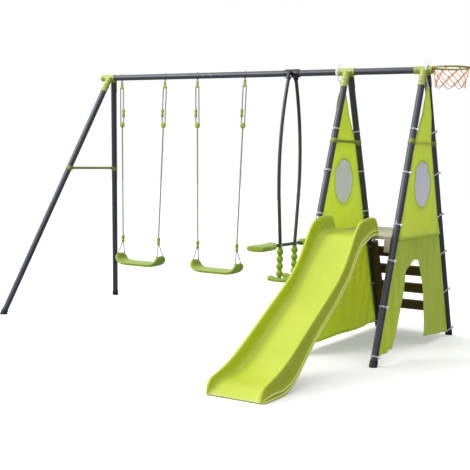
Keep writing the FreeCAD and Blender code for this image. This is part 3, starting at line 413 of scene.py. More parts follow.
def zinc(name, bright=1.0):
    """Zinc-plated steel with a faint spangle."""
    f = Finish(name, 0.32, 1.0)
    spangle = f.add("ShaderNodeTexVoronoi", {"Vector": f.place}, {"Scale": 320.0}).outputs["Color"]
    shade = f.noise(60.0, 4.0)
    base = f.mix(f.grade(shade, 0.3, 0.7), tuple(bright * c for c in (0.42, 0.43, 0.45)),
                 tuple(bright * c for c in (0.72, 0.73, 0.75)))
    base = f.mix(0.12 * bright, base, spangle)
    f.colour(base)
    f.rough(f.grade(shade, 0.3, 0.8, 0.22, 0.5))
    f.bump(f.noise(500.0, 2.0), 0.12, 0.0004)
    return f.material


DARK = powder_coat("dark steel paint", rgb(32, 38, 54), rgb(39, 46, 63), rgb(78, 86, 105), 0.42)
BLACK = powder_coat("black steel paint", rgb(26, 27, 31), rgb(36, 38, 43), rgb(70, 72, 76))
GREEN_STEEL = powder_coat("green bracket paint", rgb(168, 180, 58), rgb(154, 168, 46),
                          rgb(198, 206, 116), 0.4)
BAR_GREEN = powder_coat("green bar paint", rgb(128, 146, 44), rgb(114, 132, 36), rgb(160, 174, 80), 0.4)
LIME = moulded("lime moulding", rgb(184, 199, 44), rgb(174, 191, 34), rgb(210, 220, 116), lines=True)
SEAT = moulded("seat moulding", rgb(142, 168, 32), rgb(130, 156, 25), rgb(172, 190, 78))
BLACK_PLASTIC = moulded("black moulding", rgb(24, 25, 28), rgb(18, 19, 21), rgb(60, 62, 66))
ZINC = zinc("zinc plate")
DULL_ZINC = zinc("dull zinc plate", 0.42)
ROPE = cord_finish("grey rope", rgb(170, 166, 160), rgb(122, 118, 112))
WHITE_CORD = cord_finish("white elastic", rgb(246, 248, 252), rgb(212, 216, 228), 420.0)
ORANGE = cord_finish("orange net cord", rgb(244, 172, 62), rgb(206, 128, 38), 420.0,
                     tip=(1.752, 1.776, rgb(196, 176, 156)))
CLOTH = woven("lime cloth", rgb(192, 222, 52), rgb(180, 212, 44), rgb(204, 228, 92))
NET_CLOTH = net_cloth("window net", rgb(228, 230, 255), rgb(240, 242, 255))
BROWN = timber("brown stained wood", rgb(92, 78, 44), rgb(126, 110, 70), 0, rgb(62, 50, 28))
BROWN_RAIL = timber("brown stained rail", rgb(82, 69, 39), rgb(112, 97, 62), 2, rgb(54, 43, 24))
PALE = timber("pale sawn wood", rgb(184, 176, 152), rgb(214, 208, 188), 0, rgb(140, 118, 84), 0.65)
PALE_BEARER = timber("pale sawn bearer", rgb(182, 170, 142), rgb(208, 198, 174), 2, rgb(140, 118, 84), 0.65)


def painted(thing, material):
    thing.data.materials.clear()
    thing.data.materials.append(material)
    return thing


def settle(thing, body, slot, *nodes):
    """Last step of a piece: still, on its body. The slot it takes its finish from is given but not used."""
    thing = flatten(thing) if thing.type != "MESH" else thing
    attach(thing, body)
    if nodes:
        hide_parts(*nodes)
    return thing


# ---- geometry node trees ----------------------------------------------------------------------
def new_tree(name, inputs):
    """Empty tree with a Geometry input and output and named size inputs."""
    tree = bpy.data.node_groups.new(name, "GeometryNodeTree")
    tree.interface.new_socket("Geometry", in_out="INPUT", socket_type="NodeSocketGeometry")
    for label, kind in inputs:
        tree.interface.new_socket(label, in_out="INPUT", socket_type=kind)
    tree.interface.new_socket("Geometry", in_out="OUTPUT", socket_type="NodeSocketGeometry")
    start = tree.nodes.new("NodeGroupInput")
    end = tree.nodes.new("NodeGroupOutput")
    return tree, start.outputs, end.inputs["Geometry"]


def node_in(tree, kind, links=None, values=None, **settings):
    node = tree.nodes.new(kind)
    for key, value in settings.items():
        setattr(node, key, value)
    for key, value in (values or {}).items():
        node.inputs[key].default_value = value
    for key, source in (links or {}).items():
        tree.links.new(source, node.inputs[key])
    return node


def sum_in(tree, kind, first, second):
    """Number worked out from two others in a tree."""
    node = tree.nodes.new("ShaderNodeMath")
    node.operation = kind
    for socket, value in zip(node.inputs, (first, second)):
        if isinstance(value, float):
            socket.default_value = value
        else:
            tree.links.new(value, socket)
    return node.outputs[0]


def finish_tree(tree, shapes, material, result):
    """Last nodes of every tree: real geometry with its finish."""
    real = node_in(tree, "GeometryNodeRealizeInstances", {"Geometry": shapes})
    coat = node_in(tree, "GeometryNodeSetMaterial",
                   {"Geometry": real.outputs["Geometry"], "Material": material})
    tree.links.new(coat.outputs["Geometry"], result)


def run_tree(tree, base, values):
    """Run a tree on an object, keep the result as its plain mesh."""
    mod = base.modifiers.new("tree", "NODES")
    mod.node_group = tree
    for item in tree.interface.items_tree:
        if item.item_type == "SOCKET" and item.in_out == "INPUT" and item.name in values:
            mod[item.identifier] = values[item.name]
    bpy.context.view_layer.update()
    graph = bpy.context.evaluated_depsgraph_get()
    mesh = bpy.data.meshes.new_from_object(base.evaluated_get(graph), depsgraph=graph)
    name = base.name
    bpy.data.objects.remove(base)
    mesh.shade_smooth()
    made = bpy.data.objects.new(name, mesh)
    mesh.name = name
    scene.collection.objects.link(made)
    return made


def spread_tree():
    """An item on every point, its Z along the point's aim and its X towards the point's face."""
    tree, given, result = new_tree("spread items", (
        ("Item", "NodeSocketObject"), ("Item size", "NodeSocketFloat"), ("Finish", "NodeSocketMaterial"),
    ))
    item = node_in(tree, "GeometryNodeObjectInfo", {"Object": given["Item"]})
    aim, face = (node_in(tree, "GeometryNodeInputNamedAttribute", values={"Name": word},
                         data_type="FLOAT_VECTOR") for word in ("aim", "face"))
    upright = node_in(tree, "FunctionNodeAlignRotationToVector",
                      {"Vector": aim.outputs["Attribute"]}, axis="Z")
    turned = node_in(tree, "FunctionNodeAlignRotationToVector",
                     {"Rotation": upright.outputs["Rotation"], "Vector": face.outputs["Attribute"]},
                     axis="X", pivot_axis="Z")
    copies = node_in(tree, "GeometryNodeInstanceOnPoints", {
        "Points": given["Geometry"], "Instance": item.outputs["Geometry"],
        "Rotation": turned.outputs["Rotation"], "Scale": given["Item size"],
    })
    finish_tree(tree, copies.outputs["Instances"], given["Finish"], result)
    return tree


def twist_tree():
    """Laid rope: strands wound round every curve."""
    tree, given, result = new_tree("laid rope", (
        ("Strands", "NodeSocketInt"), ("Strand radius", "NodeSocketFloat"),
        ("Core offset", "NodeSocketFloat"),
        ("Lay length", "NodeSocketFloat"), ("Step", "NodeSocketFloat"), ("Finish", "NodeSocketMaterial"),
    ))
    even = node_in(tree, "GeometryNodeResampleCurve", {"Curve": given["Geometry"], "Length": given["Step"]},
                   mode="LENGTH")
    many = node_in(tree, "GeometryNodeDuplicateElements",
                   {"Geometry": even.outputs["Curve"], "Amount": given["Strands"]}, domain="SPLINE")
    share = sum_in(tree, "DIVIDE", many.outputs["Duplicate Index"], given["Strands"])
    length = node_in(tree, "GeometryNodeSplineParameter")
    turns = sum_in(tree, "DIVIDE", length.outputs["Length"], given["Lay length"])
    angle = sum_in(tree, "MULTIPLY", sum_in(tree, "ADD", share, turns), 2 * math.pi)
    normal = node_in(tree, "GeometryNodeInputNormal")
    tangent = node_in(tree, "GeometryNodeInputTangent")
    turned = node_in(tree, "ShaderNodeVectorRotate", {
        "Vector": normal.outputs["Normal"], "Axis": tangent.outputs["Tangent"], "Angle": angle,
    })
    offset = node_in(tree, "ShaderNodeVectorMath",
                     {0: turned.outputs["Vector"], "Scale": given["Core offset"]}, operation="SCALE")
    moved = node_in(tree, "GeometryNodeSetPosition",
                    {"Geometry": many.outputs["Geometry"], "Offset": offset.outputs[0]})
    profile = node_in(tree, "GeometryNodeCurvePrimitiveCircle", {"Radius": given["Strand radius"]},
                      {"Resolution": 6})
    skin = node_in(tree, "GeometryNodeCurveToMesh",
                   {"Curve": moved.outputs["Geometry"], "Profile Curve": profile.outputs["Curve"]},
                   {"Fill Caps": True})
    finish_tree(tree, skin.outputs["Mesh"], given["Finish"], result)
    return tree


SPREAD = spread_tree()
TWIST = twist_tree()


def spread(name, item, spots, material, size=1.0):
    """Copies of one item; a spot is its place, the way of its Z and the way of its X."""
    points = mesh_object(name, [s[0] for s in spots], [], False)
    for label, index in (("aim", 1), ("face", 2)):
        point_values(points, label, [c for s in spots for c in s[index]], "FLOAT_VECTOR", "vector")
    made = run_tree(SPREAD, points, {"Item": item, "Item size": size, "Finish": material})
    bpy.data.objects.remove(item)
    return made


def curves(name, routes, closed=False, kind="POLY", radius=0.0, sides=3):
    """Curve object with one spline for each route."""
    data = bpy.data.curves.new(name, "CURVE")
    data.dimensions = "3D"
    data.bevel_depth = radius
    data.bevel_resolution = sides
    data.resolution_u = 8
    data.use_fill_caps = True
    for route in routes:
        spline = data.splines.new(kind)
        spline.points.add(len(route) - 1)
        for point, place in zip(spline.points, route):
            point.co = (*place, 1)
        if kind == "NURBS":
            spline.order_u = 3
            spline.use_endpoint_u = not closed
        spline.use_cyclic_u = closed
    made = bpy.data.objects.new(name, data)
    scene.collection.objects.link(made)
    return made


def rope(name, routes, diameter):
    """Three-strand laid rope of one diameter along straight routes."""
    strand = diameter * 0.27
    lay = 3.4
    return run_tree(TWIST, curves(name, routes), {
        "Strands": 3, "Strand radius": strand, "Core offset": diameter / 2 - strand,
        "Lay length": diameter * lay, "Step": diameter * lay / 10, "Finish": ROPE,
    })


# ---- frame tubes, brackets, bolts: the CAD shapes with their finishes -------------------------
FINISHES = {
    "left_legs_upper": DARK, "left_legs_lower": DARK, "mid_legs_upper": DARK, "mid_legs_lower": DARK,
    "right_legs_upper": DARK, "right_legs_lower": DARK, "beam_left_tube": DARK, "beam_right_tube": DARK,
    "beam_end_plug": BLACK_PLASTIC, "foot_caps": BLACK_PLASTIC,
    "bracket_left_front": GREEN_STEEL, "bracket_left_rear": GREEN_STEEL,
    "bracket_mid_front": GREEN_STEEL, "bracket_mid_rear": GREEN_STEEL,
    "bracket_right_front": GREEN_STEEL, "bracket_right_rear": GREEN_STEEL,
    "frame_bolts": DULL_ZINC, "hanger_eyes": ZINC, "glider_bolts": ZINC,
    "glider_collars": BLACK_PLASTIC, "glider_bearing": BLACK_PLASTIC,
    "glider_upper_tubes": BLACK, "glider_lower_tubes": BLACK, "glider_crossbar": BLACK,
}
for label, material in FINISHES.items():
    painted(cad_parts[label], material)


# ---- slide: one moulded trough, skinned over listed sections ----------------------------------
# Each row: rim y, rim z, bed y, bed z, foot y, foot z, underside y, underside z, half width.
# Y is measured from the beam plane; millimetres.
SLIDE_ROWS = (
    (-380, 800, -380, 800, -380, 800, -380, 800, 136),
    (-383, 811, -383, 811, -383, 791, -383, 791, 139),
    (-410, 812, -410, 812, -410, 791, -410, 791, 142),
    (-436, 814, -430, 812, -434, 792, -440, 791, 150),
    (-446, 836, -442, 811, -439, 793, -466, 791, 160),
    (-460, 876, -458, 810, -450, 794, -496, 791, 163),
    (-486, 906, -484, 810, -480, 794, -526, 791, 163),
    (-530, 915, -532, 810, -528, 792, -556, 791, 164),
    (-592, 914, -594, 809, -590, 782, -598, 790, 164),
    (-655, 906, -650, 806, -650, 756, -648, 782, 165),
    (-708, 892, -690, 792, -700, 740, -700, 760, 165),
    (-752, 866, -732, 762, -736, 712, -742, 722, 166),
    (-796, 820, -782, 710, -780, 668, -790, 668, 166),
    (-852, 741, -846, 638, -842, 596, -850, 604, 167),
    (-918, 656, -925, 556, -910, 524, -915, 534, 168),
    (-978, 598, -990, 500, -990, 466, -980, 480, 168),
    (-1045, 544, -1060, 446, -1090, 394, -1050, 426, 169),
    (-1155, 474, -1170, 374, -1205, 320, -1160, 354, 170),
    (-1276, 401, -1290, 298, -1320, 244, -1280, 279, 171),
    (-1385, 334, -1398, 230, -1432, 156, -1390, 208, 172),
    (-1493, 269, -1502, 166, -1545, 66, -1494, 144, 173),
    (-1580, 217, -1574, 128, -1625, 22, -1566, 106, 174),
    (-1666, 170, -1645, 97, -1700, 1, -1638, 76, 175),
    (-1735, 140, -1712, 79, -1765, 0, -1706, 56, 176),
    (-1800, 117, -1780, 70, -1820, 0, -1780, 48, 177),
    (-1850, 102, -1838, 61, -1862, 0, -1836, 41, 177),
    (-1880, 93, -1872, 49, -1882, 0, -1868, 31, 176.5),
    (-1899, 84, -1894, 34, -1898, 0, -1888, 19, 176),
    (-1911, 68, -1908, 22, -1906, 1, -1902, 10, 175),
    (-1918, 46, -1916, 14, -1912, 2, -1910, 7, 173.5),
    (-1921, 24, -1920, 9, -1917, 3.5, -1916, 5, 171.5),
    (-1921, 10, -1921, 8, -1919, 5, -1918, 6, 170),
    (-1920, 7, -1920, 7, -1920, 7, -1920, 7, 168),
)
SLIDE_X = 1.158
WALL = 0.023
# The two moulded lines of the outer wall: height above its foot, and how far they stand proud.
WALL_LINES = (
    (0.0430, 0.0), (0.0420, 0.0006), (0.0372, 0.0064), (0.0360, 0.0070), (0.0320, 0.0070), (0.0308, 0.0064),
    (0.0280, 0.0012), (0.0268, 0.0006), (0.0200, 0.0006), (0.0188, 0.0012), (0.0150, 0.0078),
    (0.0138, 0.0086), (0.0090, 0.0086),
)
GRIP_PLACE = (0.1396, -0.600, 0.868)  # first grip rib: from the middle, from the beam plane, height


def slide_section(row):
    """Closed ring of a trough: bed, inner walls, round rims, outer walls with two moulded lines."""
    rim, bed, foot, under = (Vector((0, BEAM_Y + row[i] / 1000, row[i + 1] / 1000)) for i in (0, 2, 4, 6))
    half = row[8] / 1000
    tall = (rim - bed).length
    deep = (rim - foot).length
    soft = min(1.0, tall / 0.05)
    inner = half - WALL * soft
    cove = min(0.026, 0.45 * tall)
    up = (rim - bed) / tall if tall > 1e-6 else Vector()
    down = (foot - rim) / deep if deep > 1e-6 else Vector()
    lip = min(0.011, 0.3 * deep)
    side = [
        (0.0, bed - Vector((0, 0, 0.0030 * soft))),
        (0.30 * inner, bed - Vector((0, 0, 0.0026 * soft))),
        (0.62 * inner, bed - Vector((0, 0, 0.0010 * soft))),
        (inner - 1.35 * cove * soft - 0.002, bed),
        (inner - 0.62 * cove * soft - 0.001, bed + up * (0.16 * cove)),
        (inner - 0.20 * cove * soft - 0.0005, bed + up * (0.55 * cove)),
        (inner - 0.02 * cove * soft, bed + up * (1.25 * cove)),
        (inner + 0.0005 * soft, bed.lerp(rim, 0.62) if tall > 2.2 * cove else bed.lerp(rim, 0.8)),
        (inner + 0.0012 * soft, rim - up * min(0.011, 0.2 * tall)),
        (inner + 0.0048 * soft, rim - up * min(0.0028, 0.06 * tall)),
        (inner + 0.0115 * soft, rim),
        (half - 0.0042 * soft, rim + down * (0.20 * lip)),
        (half - 0.0004 * soft, rim + down * lip),
    ]
    room = min(1.0, deep / 0.12)
    side.append((half, rim.lerp(foot, 0.35)))
    for back, out in WALL_LINES:
        side.append((half + out * room, foot - down * (back * room)))
    side += [
        (half + 0.0070 * room, foot - down * (0.002 * room)),
        (half - 0.003, foot),
        (half - 0.016, foot),
        (half - 0.020, foot.lerp(under, 0.15)),
        (half - 0.024, foot.lerp(under, 0.8)),
        (half - 0.036, under),
        (0.5 * half, under),
        (0.0, under),
    ]
    right = [Vector((SLIDE_X + x, p.y, p.z)) for x, p in side]
    left = [Vector((SLIDE_X - x, p.y, p.z)) for x, p in side[1:-1]]
    ring = right + left[::-1]
    for point in ring:
        point.z = max(point.z, 0.0003)
    return ring


# The crests of the two moulded lines get a painted highlight: one value for each point of slide_section's
# half.
crest_highlight_values = [0.0] * 16 + [0.9, 1.0, 1.0, 0.9] + [0.0] * 4 + [0.9, 1.0, 1.0, 0.6] + [0.0] * 7
slide_body = painted(loft("slide_trough", [slide_section(row) for row in eased(SLIDE_ROWS, 4)],
                          highlight_values=crest_highlight_values + crest_highlight_values[1:-1][::-1]), LIME)


def bar_item(length, radius, count=10):
    """Round-ended bar lying along X, for ribs and grips."""
    stops = [(radius * 2 * at, share)
             for at, share in ((0.0, 0.02), (0.12, 0.62), (0.35, 0.92), (0.5, 1.0))]
    rows = [(-length / 2 + d, s) for d, s in stops] + [(length / 2 - d, s) for d, s in stops[::-1]]
    skin = []
    for x, share in rows:
        skin.append([Vector((x, radius * share * math.cos(2 * math.pi * i / count),
                             radius * share * math.sin(2 * math.pi * i / count))) for i in range(count)])
    return loft("bar_item", skin)


grip_spots = []
for s in (-1, 1):
    for i in range(4):
        place = (SLIDE_X + s * GRIP_PLACE[0], BEAM_Y + GRIP_PLACE[1] - 0.021 * i, GRIP_PLACE[2] - 0.009 * i)
        grip_spots.append((place, (s, 0, 0), (0, 0.42, 0.9)))
grips = spread("slide_grips", bar_item(0.052, 0.0052), grip_spots, LIME)
settle(joined("slide_moulding", [slide_body, grips]), "frame", "lime_plastic", "slide")


# ---- swing seats, hooks, rope fittings --------------------------------------------------------
SEAT_Z = 0.388
HANGER_HALF, HOOK_DROP = 0.210, 0.050
SPLIT_HALF, SPLIT_TOP, SPLITTER_TALL = 0.176, 0.622, 0.060
ADJUSTER_Z, STOPPER_Z, STRAND_HALF = 1.598, 1.516, 0.014
RING_R = 0.0105


def seat_ring(centre, way, half_thick, half_deep, ribs, count=56):
    """Section of the seat square to its way along X."""
    up = Vector((-way.z, 0, way.x))
    ring = []
    for b, a in superellipse(half_deep, half_thick, 3.2, count):
        lift = 0.0011 * math.cos(b * 2 * math.pi / 0.0205) * ribs if a > 0.4 * half_thick else 0.0
        ring.append(centre + Vector((0, b, 0)) + up * (a + lift))
    return ring


def seat_mesh(name, middle):
    """U-shaped moulded seat: flat middle, ends turned up into round grips."""
    stations = (
        # along the beam, height, half thickness, half depth, share of the ribs
        (191, 85, 8, 24, 0), (194, 81, 13.5, 42, 0), (195, 73, 16.5, 56, 0), (193, 60, 17, 65, 0),
        (186, 45, 16.5, 71, 0), (173, 32, 16, 75, 0), (154, 23.5, 16, 78, 0.4), (132, 19, 17, 80.5, 1),
        (100, 17, 17.5, 81.5, 1), (55, 17, 17.5, 82, 1), (0, 17, 17.5, 82, 1),
    )
    dense = eased(mirrored(stations), 4)
    rings = []
    for i, row in enumerate(dense):
        before, after = dense[max(i - 1, 0)], dense[min(i + 1, len(dense) - 1)]
        way = Vector((after[0] - before[0], 0, after[1] - before[1])).normalized()
        if i < 2 or i > len(dense) - 3:
            way = Vector((0, 0, -1 if i < 2 else 1))
        centre = Vector((middle + row[0] / 1000, BEAM_Y, SEAT_Z + row[1] / 1000))
        rings.append(seat_ring(centre, way, row[2] / 1000, row[3] / 1000, row[4]))
    return painted(loft(name, rings), SEAT)


def stack(name, base, axis, across, rows, count=28):
    """Upright rounded body: rows of height, half width across, half depth."""
    axis, across = axis.normalized(), across.normalized()
    third = axis.cross(across)
    rings = []
    for h, wide, deep in rows:
        rings.append([base + axis * h + across * a + third * b
                      for a, b in superellipse(wide, deep, 2.6, count)])
    return loft(name, rings)


HOOK_ROWS = ((0.000, 0.0140, 0.0060), (0.0012, 0.0164, 0.0076), (0.006, 0.0172, 0.0082),
             (0.012, 0.0150, 0.0082), (0.019, 0.0112, 0.0078), (0.026, 0.0104, 0.0074),
             (0.033, 0.0110, 0.0072), (0.0385, 0.0098, 0.0064), (0.0405, 0.0062, 0.0040))
GRIP_ROWS = mirrored(((-0.0300, 0.0080, 0.0066), (-0.0286, 0.0106, 0.0084), (-0.019, 0.0118, 0.0090),
                      (-0.008, 0.0102, 0.0084), (0.0, 0.0088, 0.0078)))
STOP_ROWS = ((-0.006, 0.0080, 0.0074), (-0.0045, 0.0104, 0.0092), (0.002, 0.0160, 0.0100),
             (0.008, 0.0200, 0.0106), (0.016, 0.0214, 0.0106), (0.024, 0.0200, 0.0102),
             (0.030, 0.0180, 0.0098), (0.0355, 0.0164, 0.0090), (0.0375, 0.0130, 0.0070))
SPLIT_ROWS = ((0.0, 0.0100, 0.0062), (0.0016, 0.0124, 0.0080), (0.008, 0.0142, 0.0092),
              (0.016, 0.0130, 0.0088), (0.026, 0.0094, 0.0078), (0.036, 0.0120, 0.0092),
              (0.046, 0.0158, 0.0112), (0.053, 0.0150, 0.0108),
              (0.0585, 0.0110, 0.0084), (0.060, 0.0080, 0.0062))


def torus_item(radius, wire, around=40, section=14):
    rings = []
    for i in range(around):
        t = 2 * math.pi * i / around
        out = Vector((math.cos(t), math.sin(t), 0))
        rings.append([out * (radius + wire * math.cos(2 * math.pi * j / section))
                      + Vector((0, 0, wire * math.sin(2 * math.pi * j / section))) for j in range(section)])
    points = [p for ring in rings for p in ring]
    faces = []
    for i in range(around):
        for j in range(section):
            k, n = (j + 1) % section, (i + 1) % around
            faces.append((i * section + j, n * section + j, n * section + k, i * section + k))
    return mesh_object("ring_item", points, faces)


def make_swing(word, middle):
    """One rope swing, hung at the middle given along the beam."""
    body = "swing_" + word
    hooks, rings, grips, strands, mains, forks, eyelets = [], [], [], [], [], [], []
    for s in (-1, 1):
        pivot = Vector((middle + s * HANGER_HALF, BEAM_Y, PIVOT_Z))
        hang = pivot - Vector((0, 0, HOOK_DROP))
        split = Vector((middle + s * SPLIT_HALF, BEAM_Y, SPLIT_TOP))
        down = (split - hang).normalized()
        across = (Vector((1, 0, 0)) - down * down.x).normalized()
        hooks.append(stack("hook", hang, UP, Vector((1, 0, 0)), HOOK_ROWS, 24))
        rings.append((pivot - UP * RING_R, (0, 1, 0), (1, 0, 0)))
        knot_top = hang + down * ((hang.z - STOPPER_Z) / -down.z)
        knot_low = knot_top + down * 0.026
        adjust = hang + down * ((hang.z - ADJUSTER_Z) / -down.z)
        strand = 1 if word == "a" and s < 0 else -1
        grips.append(stack("adjuster", adjust + across * (strand * STRAND_HALF), down * -1, across,
                           GRIP_ROWS))
        grips.append(stack("stopper", knot_low, down * -1, across, STOP_ROWS))
        grips.append(stack("splitter", split - UP * SPLITTER_TALL, UP, Vector((0, 1, 0)), SPLIT_ROWS))
        for t in (-1, 1):
            start = hang - down * 0.003 + across * (t * STRAND_HALF)
            strands.append((start, start + down * ((knot_top - hang).length + 0.008)))
            top = split - Vector((0, -t * 0.006, 0.056))
            low = Vector((middle + s * 0.193, BEAM_Y + t * 0.044, SEAT_Z + 0.078))  # in the seat's end
            forks.append((top, low))
            eyelets.append((low + (top - low).normalized() * 0.0075, (top - low).normalized(), (1, 0, 0)))
        mains.append((knot_low - down * 0.004, split + down * 0.004))
    plastic = [painted(piece, SEAT) for piece in hooks]
    rings_made = spread("rings", torus_item(RING_R, 0.0032), rings, ZINC)
    settle(joined(body + "_hook_set", plastic + [rings_made]), body, "green_plastic", body + "_hooks")
    fittings = joined(body + "_rope_fittings", [painted(piece, SEAT) for piece in grips])
    settle(fittings, body, "green_plastic",
           body + "_fittings")
    settle(rope(body + "_doubled_ropes", strands, 0.010), body, "rope", body + "_loops")
    settle(rope(body + "_main_ropes", mains, 0.012), body, "rope", body + "_ropes")
    settle(rope(body + "_seat_ropes", forks, 0.008), body, "rope", body + "_forks")
    collars = spread("collars", torus_item(0.0062, 0.0022, 20, 8), eyelets, SEAT)
    settle(joined(body + "_moulded_seat", [seat_mesh(body + "_seat_shell", middle), collars]), body,
           "green_plastic", body + "_seat")


make_swing("a", -0.900)
make_swing("b", -0.178)


# ---- glider seats, bead columns, footrests ----------------------------------------------------
GLIDE_X = 0.428
bar_low, bar_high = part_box("glider_crossbar")
BAR_Z = (bar_low.z + bar_high.z) / 2
SADDLE_ROWS = (
    # distance from the inner end, top, underside, half width
    (0, 12, -15, 18), (3, 17, -18, 22), (14, 25, -21, 31), (32, 29, -23, 43), (56, 26, -24, 55),
    (84, 22, -24.5, 64), (118, 20, -25, 70), (160, 20, -25, 73), (205, 21, -25, 73), (244, 21, -25, 71),
    (262, 20, -24, 68), (268.5, 16.5, -20.5, 64), (270, 11, -15, 59),
)


def saddle(name, side):
    start = BEAM_Y + side * 0.205
    rings = []
    for at, top, low, wide in eased(SADDLE_ROWS, 4):
        ring = []
        for a, b in superellipse(wide / 1000, 1.0, 2.9, 40):
            crown = 1 - 0.10 * (a * 1000 / max(wide, 1)) ** 2
            z = (top * b * crown if b > 0 else -low * b) / 1000
            on_top = b > 0.6 and 60 < at < 250
            groove = -0.0009 * (math.cos(a * 2 * math.pi / 0.019) > 0.55) if on_top else 0
            ring.append(Vector((GLIDE_X + a, start + side * at / 1000, BAR_Z + z + groove)))
        rings.append(ring)
    return painted(loft(name, rings), SEAT)


for word, side in SIDES:
    settle(saddle(f"glider_saddle_{word}", side), "glider", "green_plastic", "glider_seat_" + word)

BEAD_PITCH = 0.052
columns_low, columns_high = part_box("glider_bead_columns")
BEAD_ROWS = ((-0.026, 0.0140), (-0.0225, 0.0150), (-0.0190, 0.0188), (-0.012, 0.0232), (-0.0025, 0.0250),
             (0.0025, 0.0250), (0.012, 0.0232), (0.0190, 0.0188), (0.0225, 0.0150), (0.026, 0.0140))


def turned(name, rows, count=32, lobes=0, depth=0.0):
    """Body of revolution about Z with optional soft lobes."""
    rings = []
    for z, r in rows:
        ring = []
        for i in range(count):
            t = 2 * math.pi * i / count
            reach = r * (1 + depth * math.cos(lobes * t))
            ring.append(Vector((reach * math.cos(t), reach * math.sin(t), z)))
        rings.append(ring)
    return loft(name, rings)


column_ys = (columns_low.y + 0.025, columns_high.y - 0.025)
bead_spots = []
for y in column_ys:
    for i in range(4):
        bead_spots.append(((GLIDE_X, y, columns_high.z - 0.035 - BEAD_PITCH * i), (0, 0, 1), (1, 0, 0)))
beads = spread("beads", turned("bead", BEAD_ROWS, 32, 8, 0.012), bead_spots, SEAT)
cup_rows = ((0.0, 0.0150), (-0.0015, 0.0170), (-0.010, 0.0170), (-0.014, 0.0150))
cups = spread("cups", turned("cup", cup_rows[::-1]),
              [((GLIDE_X, y, columns_high.z), (0, 0, 1), (1, 0, 0)) for y in column_ys], SEAT)
ends = spread("ends", turned("end", ((-0.006, 0.0118), (0.0, 0.0130), (0.014, 0.0130))),
              [((GLIDE_X, y, columns_low.z + 0.006), (0, 0, 1), (1, 0, 0)) for y in column_ys], SEAT)
settle(joined("glider_beads", [beads, cups, ends]), "glider", "green_plastic", "glider_bead_columns")

rest_low, rest_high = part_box("glider_footrests")
REST_ROWS = (
    # along the beam, height, half thickness, half depth
    (88, 26, 7, 16), (87, 26.5, 12, 21), (84, 26.5, 16.5, 24), (74, 26, 19, 26), (56, 23, 18, 26),
    (30, 18, 15, 26), (0, 16.5, 14, 26),
)


def footrest(name, y):
    dense = eased(mirrored(REST_ROWS), 4)
    rings = []
    for i, (x, z, thick, deep) in enumerate(dense):
        before, after = dense[max(i - 1, 0)], dense[min(i + 1, len(dense) - 1)]
        way = Vector((after[0] - before[0], 0, after[1] - before[1])).normalized()
        up = Vector((-way.z, 0, way.x))
        centre = Vector((GLIDE_X + x / 1000, y, rest_low.z + z / 1000))
        rings.append([centre + Vector((0, b, 0)) + up * a
                      for b, a in superellipse(deep / 1000, thick / 1000, 3.4, 32)])
    return painted(loft(name, rings), SEAT)


rest_ys = (rest_low.y + 0.026, rest_high.y - 0.026)
tread = spread("treads", bar_item(0.046, 0.0022, 8),
               [((GLIDE_X + x, y, rest_low.z + 0.0302 + 0.05 * (abs(x) - 0.012)), (0, 0, 1), (0, 1, 0))
                for y in rest_ys for x in (-0.024, -0.012, 0.012, 0.024)], SEAT)
boards = [footrest("rest_front", rest_ys[0]), footrest("rest_rear", rest_ys[1]), tread]
settle(joined("glider_foot_boards", boards), "glider", "green_plastic", "glider_footrests")


# ---- crossbars: a bar with a cup and a clamp band at each leg ---------------------------------
CUP_ROWS = ((0.0200, 0.0140), (0.0212, 0.0160), (0.0300, 0.0162), (0.0380, 0.0146), (0.0440, 0.0116),
            (0.0462, 0.0100))
BAND_ROWS = ((-0.0165, 0.0228), (-0.0155, 0.0247), (0.0155, 0.0247), (0.0165, 0.0228))
for word, top_x, splay, height in (("left", -1.215, 0.485, 1.154), ("mid", MID_X, 0.0, 1.400),
                                   ("right", RIGHT_X, 0.0, 1.400)):
    x = top_x - splay * (1 - height / BEAM_Z)
    front, rear = (Vector((x, leg_y(height, side), height)) for side in (-1, 1))
    cups = spread("cups", turned("cup", CUP_ROWS),
                  [(front, (0, 1, 0), (1, 0, 0)), (rear, (0, -1, 0), (1, 0, 0))], BAR_GREEN)
    bands = spread("bands", turned("band", BAND_ROWS), [
        (place, (splay, side * (LEG_OFFSET - FOOT_SPREAD), BEAM_Z), (1, 0, 0))
        for place, side in ((front, -1), (rear, 1))], BAR_GREEN)
    inset = Vector((0, 0.040, 0))
    bar = flatten(curves("bar", [[front + inset, rear - inset]], radius=0.0098, sides=6))
    bar = painted(bar, BAR_GREEN)
    settle(joined(f"tie_bar_{word}", [cups, bands, bar]), "frame", "green_steel", "crossbar_" + word)


# ---- timber: boards, bearers, rails and slats with eased edges --------------------------------
def timber_box(size, ease=0.0028):
    """Board centred on the origin with rounded edges."""
    x, y, z = (c / 2 for c in size)
    points = [(i * x, j * y, k * z) for i in (-1, 1) for j in (-1, 1) for k in (-1, 1)]
    faces = [(0, 1, 3, 2), (4, 6, 7, 5), (0, 4, 5, 1), (2, 3, 7, 6), (0, 2, 6, 4), (1, 5, 7, 3)]
    board = mesh_object("board_item", points, faces, False)
    mod = board.modifiers.new("ease", "BEVEL")
    mod.width, mod.segments, mod.limit_method = ease, 3, "NONE"
    return flatten(board)


PLANK = 0.040  # thickness of the bearers and the ladder rails
BOARD_GAP = 0.006
boards_low, boards_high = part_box("deck_boards")
board_pitch = (boards_high.y - boards_low.y + BOARD_GAP) / 8
board_size = (boards_high.x - boards_low.x, board_pitch - BOARD_GAP, boards_high.z - boards_low.z)
board_spots = []
for i in range(8):
    middle = ((boards_low.x + boards_high.x) / 2, boards_low.y + board_pitch * (i + 0.5) - 0.003,
              (boards_low.z + boards_high.z) / 2)
    board_spots.append((middle, (0, 0, 1), (1, 0, 0)))
settle(spread("tower_deck", timber_box(board_size), board_spots, PALE), "frame", "pale_wood", "deck_boards")

